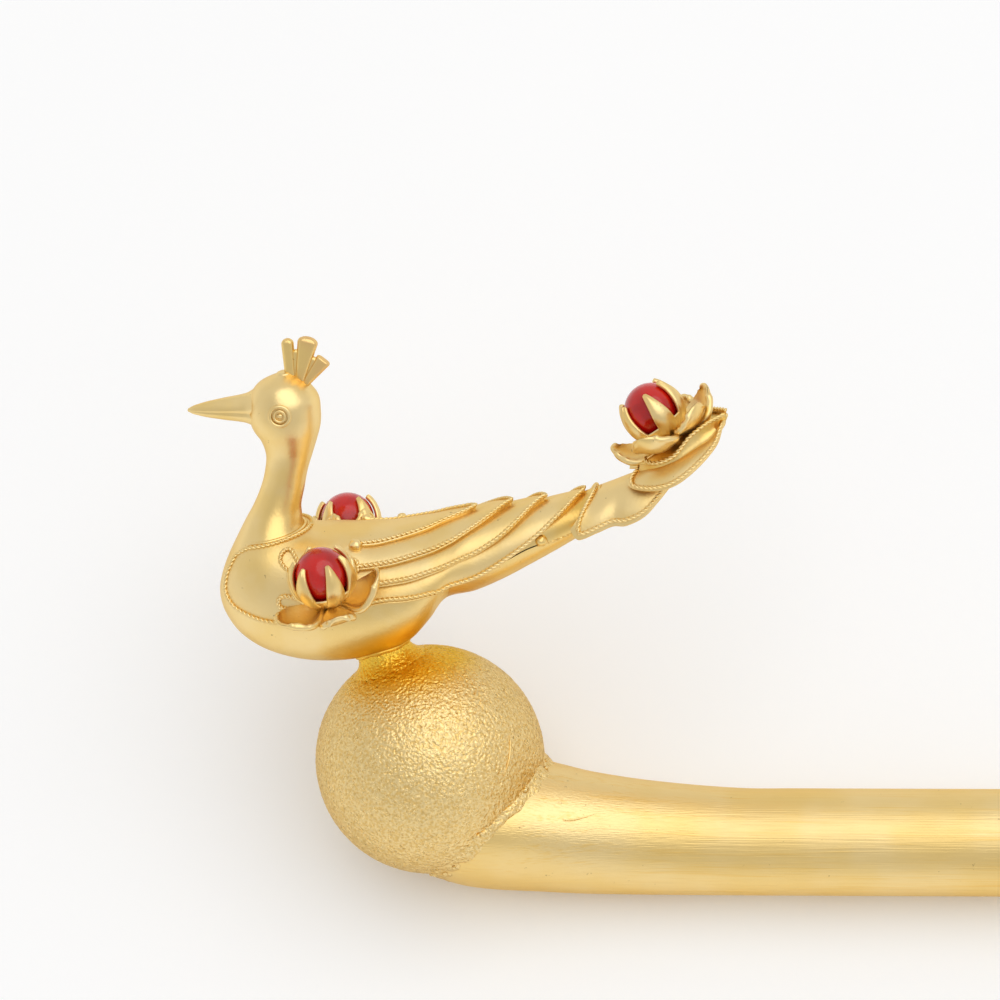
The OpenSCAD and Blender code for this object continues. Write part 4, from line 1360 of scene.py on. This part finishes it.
# %% [markdown]
# Coral beads
#
# The beads were ground by hand and are not quite round. A plain sphere would look machined, so each is a
# blown-up cube with slow, shallow swellings, and each has its own.

# %% Beads
BEAD_SWELL, BEAD_WAVE, BEAD_SQUARES = 0.012, 1 / 0.9, 24
bead_unit, bead_faces = blown_cube(BEAD_SQUARES)
beads = [("left", SIDE_BEAD), ("right", SIDE_BEAD * (1, 1, -1)), ("tail", TAIL_BEAD)]
for seed, (where, at) in enumerate(beads, start=1):
    swell = noise_at(bead_unit, BEAD_WAVE, (seed, 0, 0))
    points = at + bead_unit * (BEAD_R * (1 + BEAD_SWELL * swell))[:, None]
    piece(f"coral_{where}", [(points, bead_faces)], "coral", "coral", f"bead_{where}", crease=SMOOTH)

# %% [markdown]
# Rosettes of rope under the side flowers
#
# Round each side flower, loops of rope lie on the wing plate like petals, and only their ends show past the
# flower. A Shrinkwrap modifier could press a flat loop onto the plate. Here each point of the flat loop
# drops straight onto the plate before the rope is made, so the two strands keep their round shape.

# %% Rosettes
ROSETTE_AT = np.array([-4.24, 9.34])
ROSETTE_R, ROSETTE_PITCH, ROSETTE_LIFT = 0.12, 0.42, 0.06
LOOP_POINTS = 48
# direction from the middle, distance of the outer end's middle, its radius, length of the inner end
ROSETTE = [(134, 3.02, 0.34, 1.0), (178, 2.22, 0.32, 1.0), (56, 2.15, 0.26, 0.9), (18, 2.05, 0.34, 0.8)]


def dropped(flat):
    """The point of the wing plate that lies straight below a point, raised a little."""
    at, normal = wing_tree.ray_cast(Vector((*flat, 12)), Vector((0, 0, -1)))[:2]
    return np.array(at) + np.array(normal) * np.sign(normal[2]) * ROSETTE_LIFT


rosette_parts = []
for way, middle, wide, long in ROSETTE:
    along = np.array(cos_sin(way))
    across = along[::-1] * (-1, 1)
    flat = [ROSETTE_AT + along * (middle + (wide if c > 0 else long) * c) + across * wide * n
            for c, n in zip(*cos_sin(all_round(LOOP_POINTS)))]
    rosette_parts += rope([dropped(point) for point in flat], ROSETTE_R, ROSETTE_PITCH, closed=True)
print("rosette loops:", len(ROSETTE))
pair("rosette", rosette_parts, "rope_gold", "satin_gold", crease=SMOOTH)

# %% [markdown]
# The floor
#
# The pin lies on a plain white table. A floor in pure shader white would turn grey in this light, so a
# little light of its own lifts it, and faint clouds keep it from looking computed. It is part of the stage
# and not of the pin.

# %% Floor
FLOOR_HALF = 1.5
floor_finish = Finish("floor_white", roughness=0.6, emission_color=(1, 1, 1, 1), emission_strength=0.09)
whites = floor_finish.mix(rgb(250, 250, 250), rgb(246, 246, 246), floor_finish.grain(60, 2))
floor_finish.vary("Base Color", whites)
floor_mesh = bpy.data.meshes.new("floor")
corners = [(x * FLOOR_HALF, y * FLOOR_HALF, 0) for x, y in ((-1, -1), (1, -1), (1, 1), (-1, 1))]
floor_mesh.from_pydata(corners, [], [(0, 1, 2, 3)])
floor_mesh.materials.append(FINISHES["floor_white"])
floor = bpy.data.objects.new("floor", floor_mesh)
bpy.context.scene.collection.objects.link(floor)
print("floor:", 2 * FLOOR_HALF, "m wide")

# %% [markdown]
# The camera
#
# The camera looks at the bird's side, from a little in front of it and a little above its back. Because the
# pin has rolled over, that is steeply down on the floor. A Track To constraint would keep the horizon
# level, but in the photograph the shank runs level across the picture, so the camera's axes are worked out
# in the pin's frame. It stands far away with a long lens, so that nothing is distorted.

# %% Camera
LOOK_SIDE, LOOK_UP = 0.134, 0.300
LOOK_AT = np.array([4.11, 13.68, 0.0])
CAMERA_AWAY, FRAME_WIDTH = 577.0, 50.0
SENSOR = 36.0

side_cos, up_cos = math.sqrt(1 - LOOK_SIDE ** 2), math.sqrt(1 - LOOK_UP ** 2)
right = np.array([side_cos, -LOOK_SIDE * LOOK_UP, -LOOK_SIDE * up_cos])
above = np.array([0.0, up_cos, -LOOK_UP])
towards = np.array([LOOK_SIDE, LOOK_UP * side_cos, up_cos * side_cos])
CAMERA_AXES = TURN @ np.column_stack([right, above, towards])
camera_data = bpy.data.cameras.new("camera")
camera_data.sensor_width = SENSOR
camera_data.lens = SENSOR * CAMERA_AWAY / FRAME_WIDTH
camera_data.clip_start, camera_data.clip_end = 0.05, 10
camera = bpy.data.objects.new("camera", camera_data)
camera_at = to_world([LOOK_AT + towards * CAMERA_AWAY])
camera.matrix_world = Matrix([*np.hstack([CAMERA_AXES, camera_at.T]), (0, 0, 0, 1)])
bpy.context.scene.collection.objects.link(camera)
bpy.context.scene.camera = camera
print("camera elevation:", round(math.degrees(math.asin(CAMERA_AXES[2, 2])), 1), "degrees")

# %% [markdown]
# The light
#
# Polished metal shows what surrounds it, so a small lamp would give hard white spots. The light is one
# large round panel above the camera, and the walls of the studio are pale. The side where the camera stands
# is a little darker, which gives the metal its shape. The walls are the world's background, made with
# shader nodes.

# %% Light
# Where the panel hangs, as seen by the camera: to its right, upwards, and towards it
PANEL_WAY = (0.20, 0.44, 0.87)
PANEL_AWAY, PANEL_SIZE, PANEL_POWER = 0.9, 1.25, 3.75
WALLS, CAMERA_SIDE = 0.74, 0.58

panel_data = bpy.data.lights.new("light_over", "AREA")
panel_data.shape = "DISK"
panel_data.size = PANEL_SIZE
panel_data.energy = PANEL_POWER
panel = bpy.data.objects.new("light_over", panel_data)
panel_way = Vector(unit(CAMERA_AXES @ PANEL_WAY))
panel.location = Vector(to_world([LOOK_AT])[0]) + panel_way * PANEL_AWAY
panel.visible_camera = False
panel.rotation_mode = "QUATERNION"
panel.rotation_quaternion = (-panel_way).to_track_quat("-Z", "Y")
bpy.context.scene.collection.objects.link(panel)

world = bpy.data.worlds.new("studio")
sky = Nodes(world, "Background")
sky.last.inputs["Color"].default_value = (1.0, 1.0, 1.0, 1.0)
around = sky.add("ShaderNodeTexCoord").outputs["Generated"]
facing = sky.add("ShaderNodeVectorMath", {"operation": "DOT_PRODUCT"}, {0: around, 1: CAMERA_AXES[:, 2]})
shade = sky.add("ShaderNodeMapRange", {"interpolation_type": "SMOOTHSTEP"}, {
    "Value": facing.outputs["Value"], "From Min": 0.2, "From Max": 0.95,
    "To Min": WALLS, "To Max": CAMERA_SIDE})
sky.vary("Strength", shade.outputs["Result"])
bpy.context.scene.world = world
bpy.context.scene.view_settings.view_transform = "Standard"
print("panel at", [round(v, 2) for v in panel.location], "m, walls", WALLS, "and", CAMERA_SIDE)

# %% [markdown]
# Counting the pieces
#
# At the end the script prints how many pieces it made and how many triangles they have.

# %% Finish
print("pieces:", len(made), "triangles:", sum(count for _, count in made))
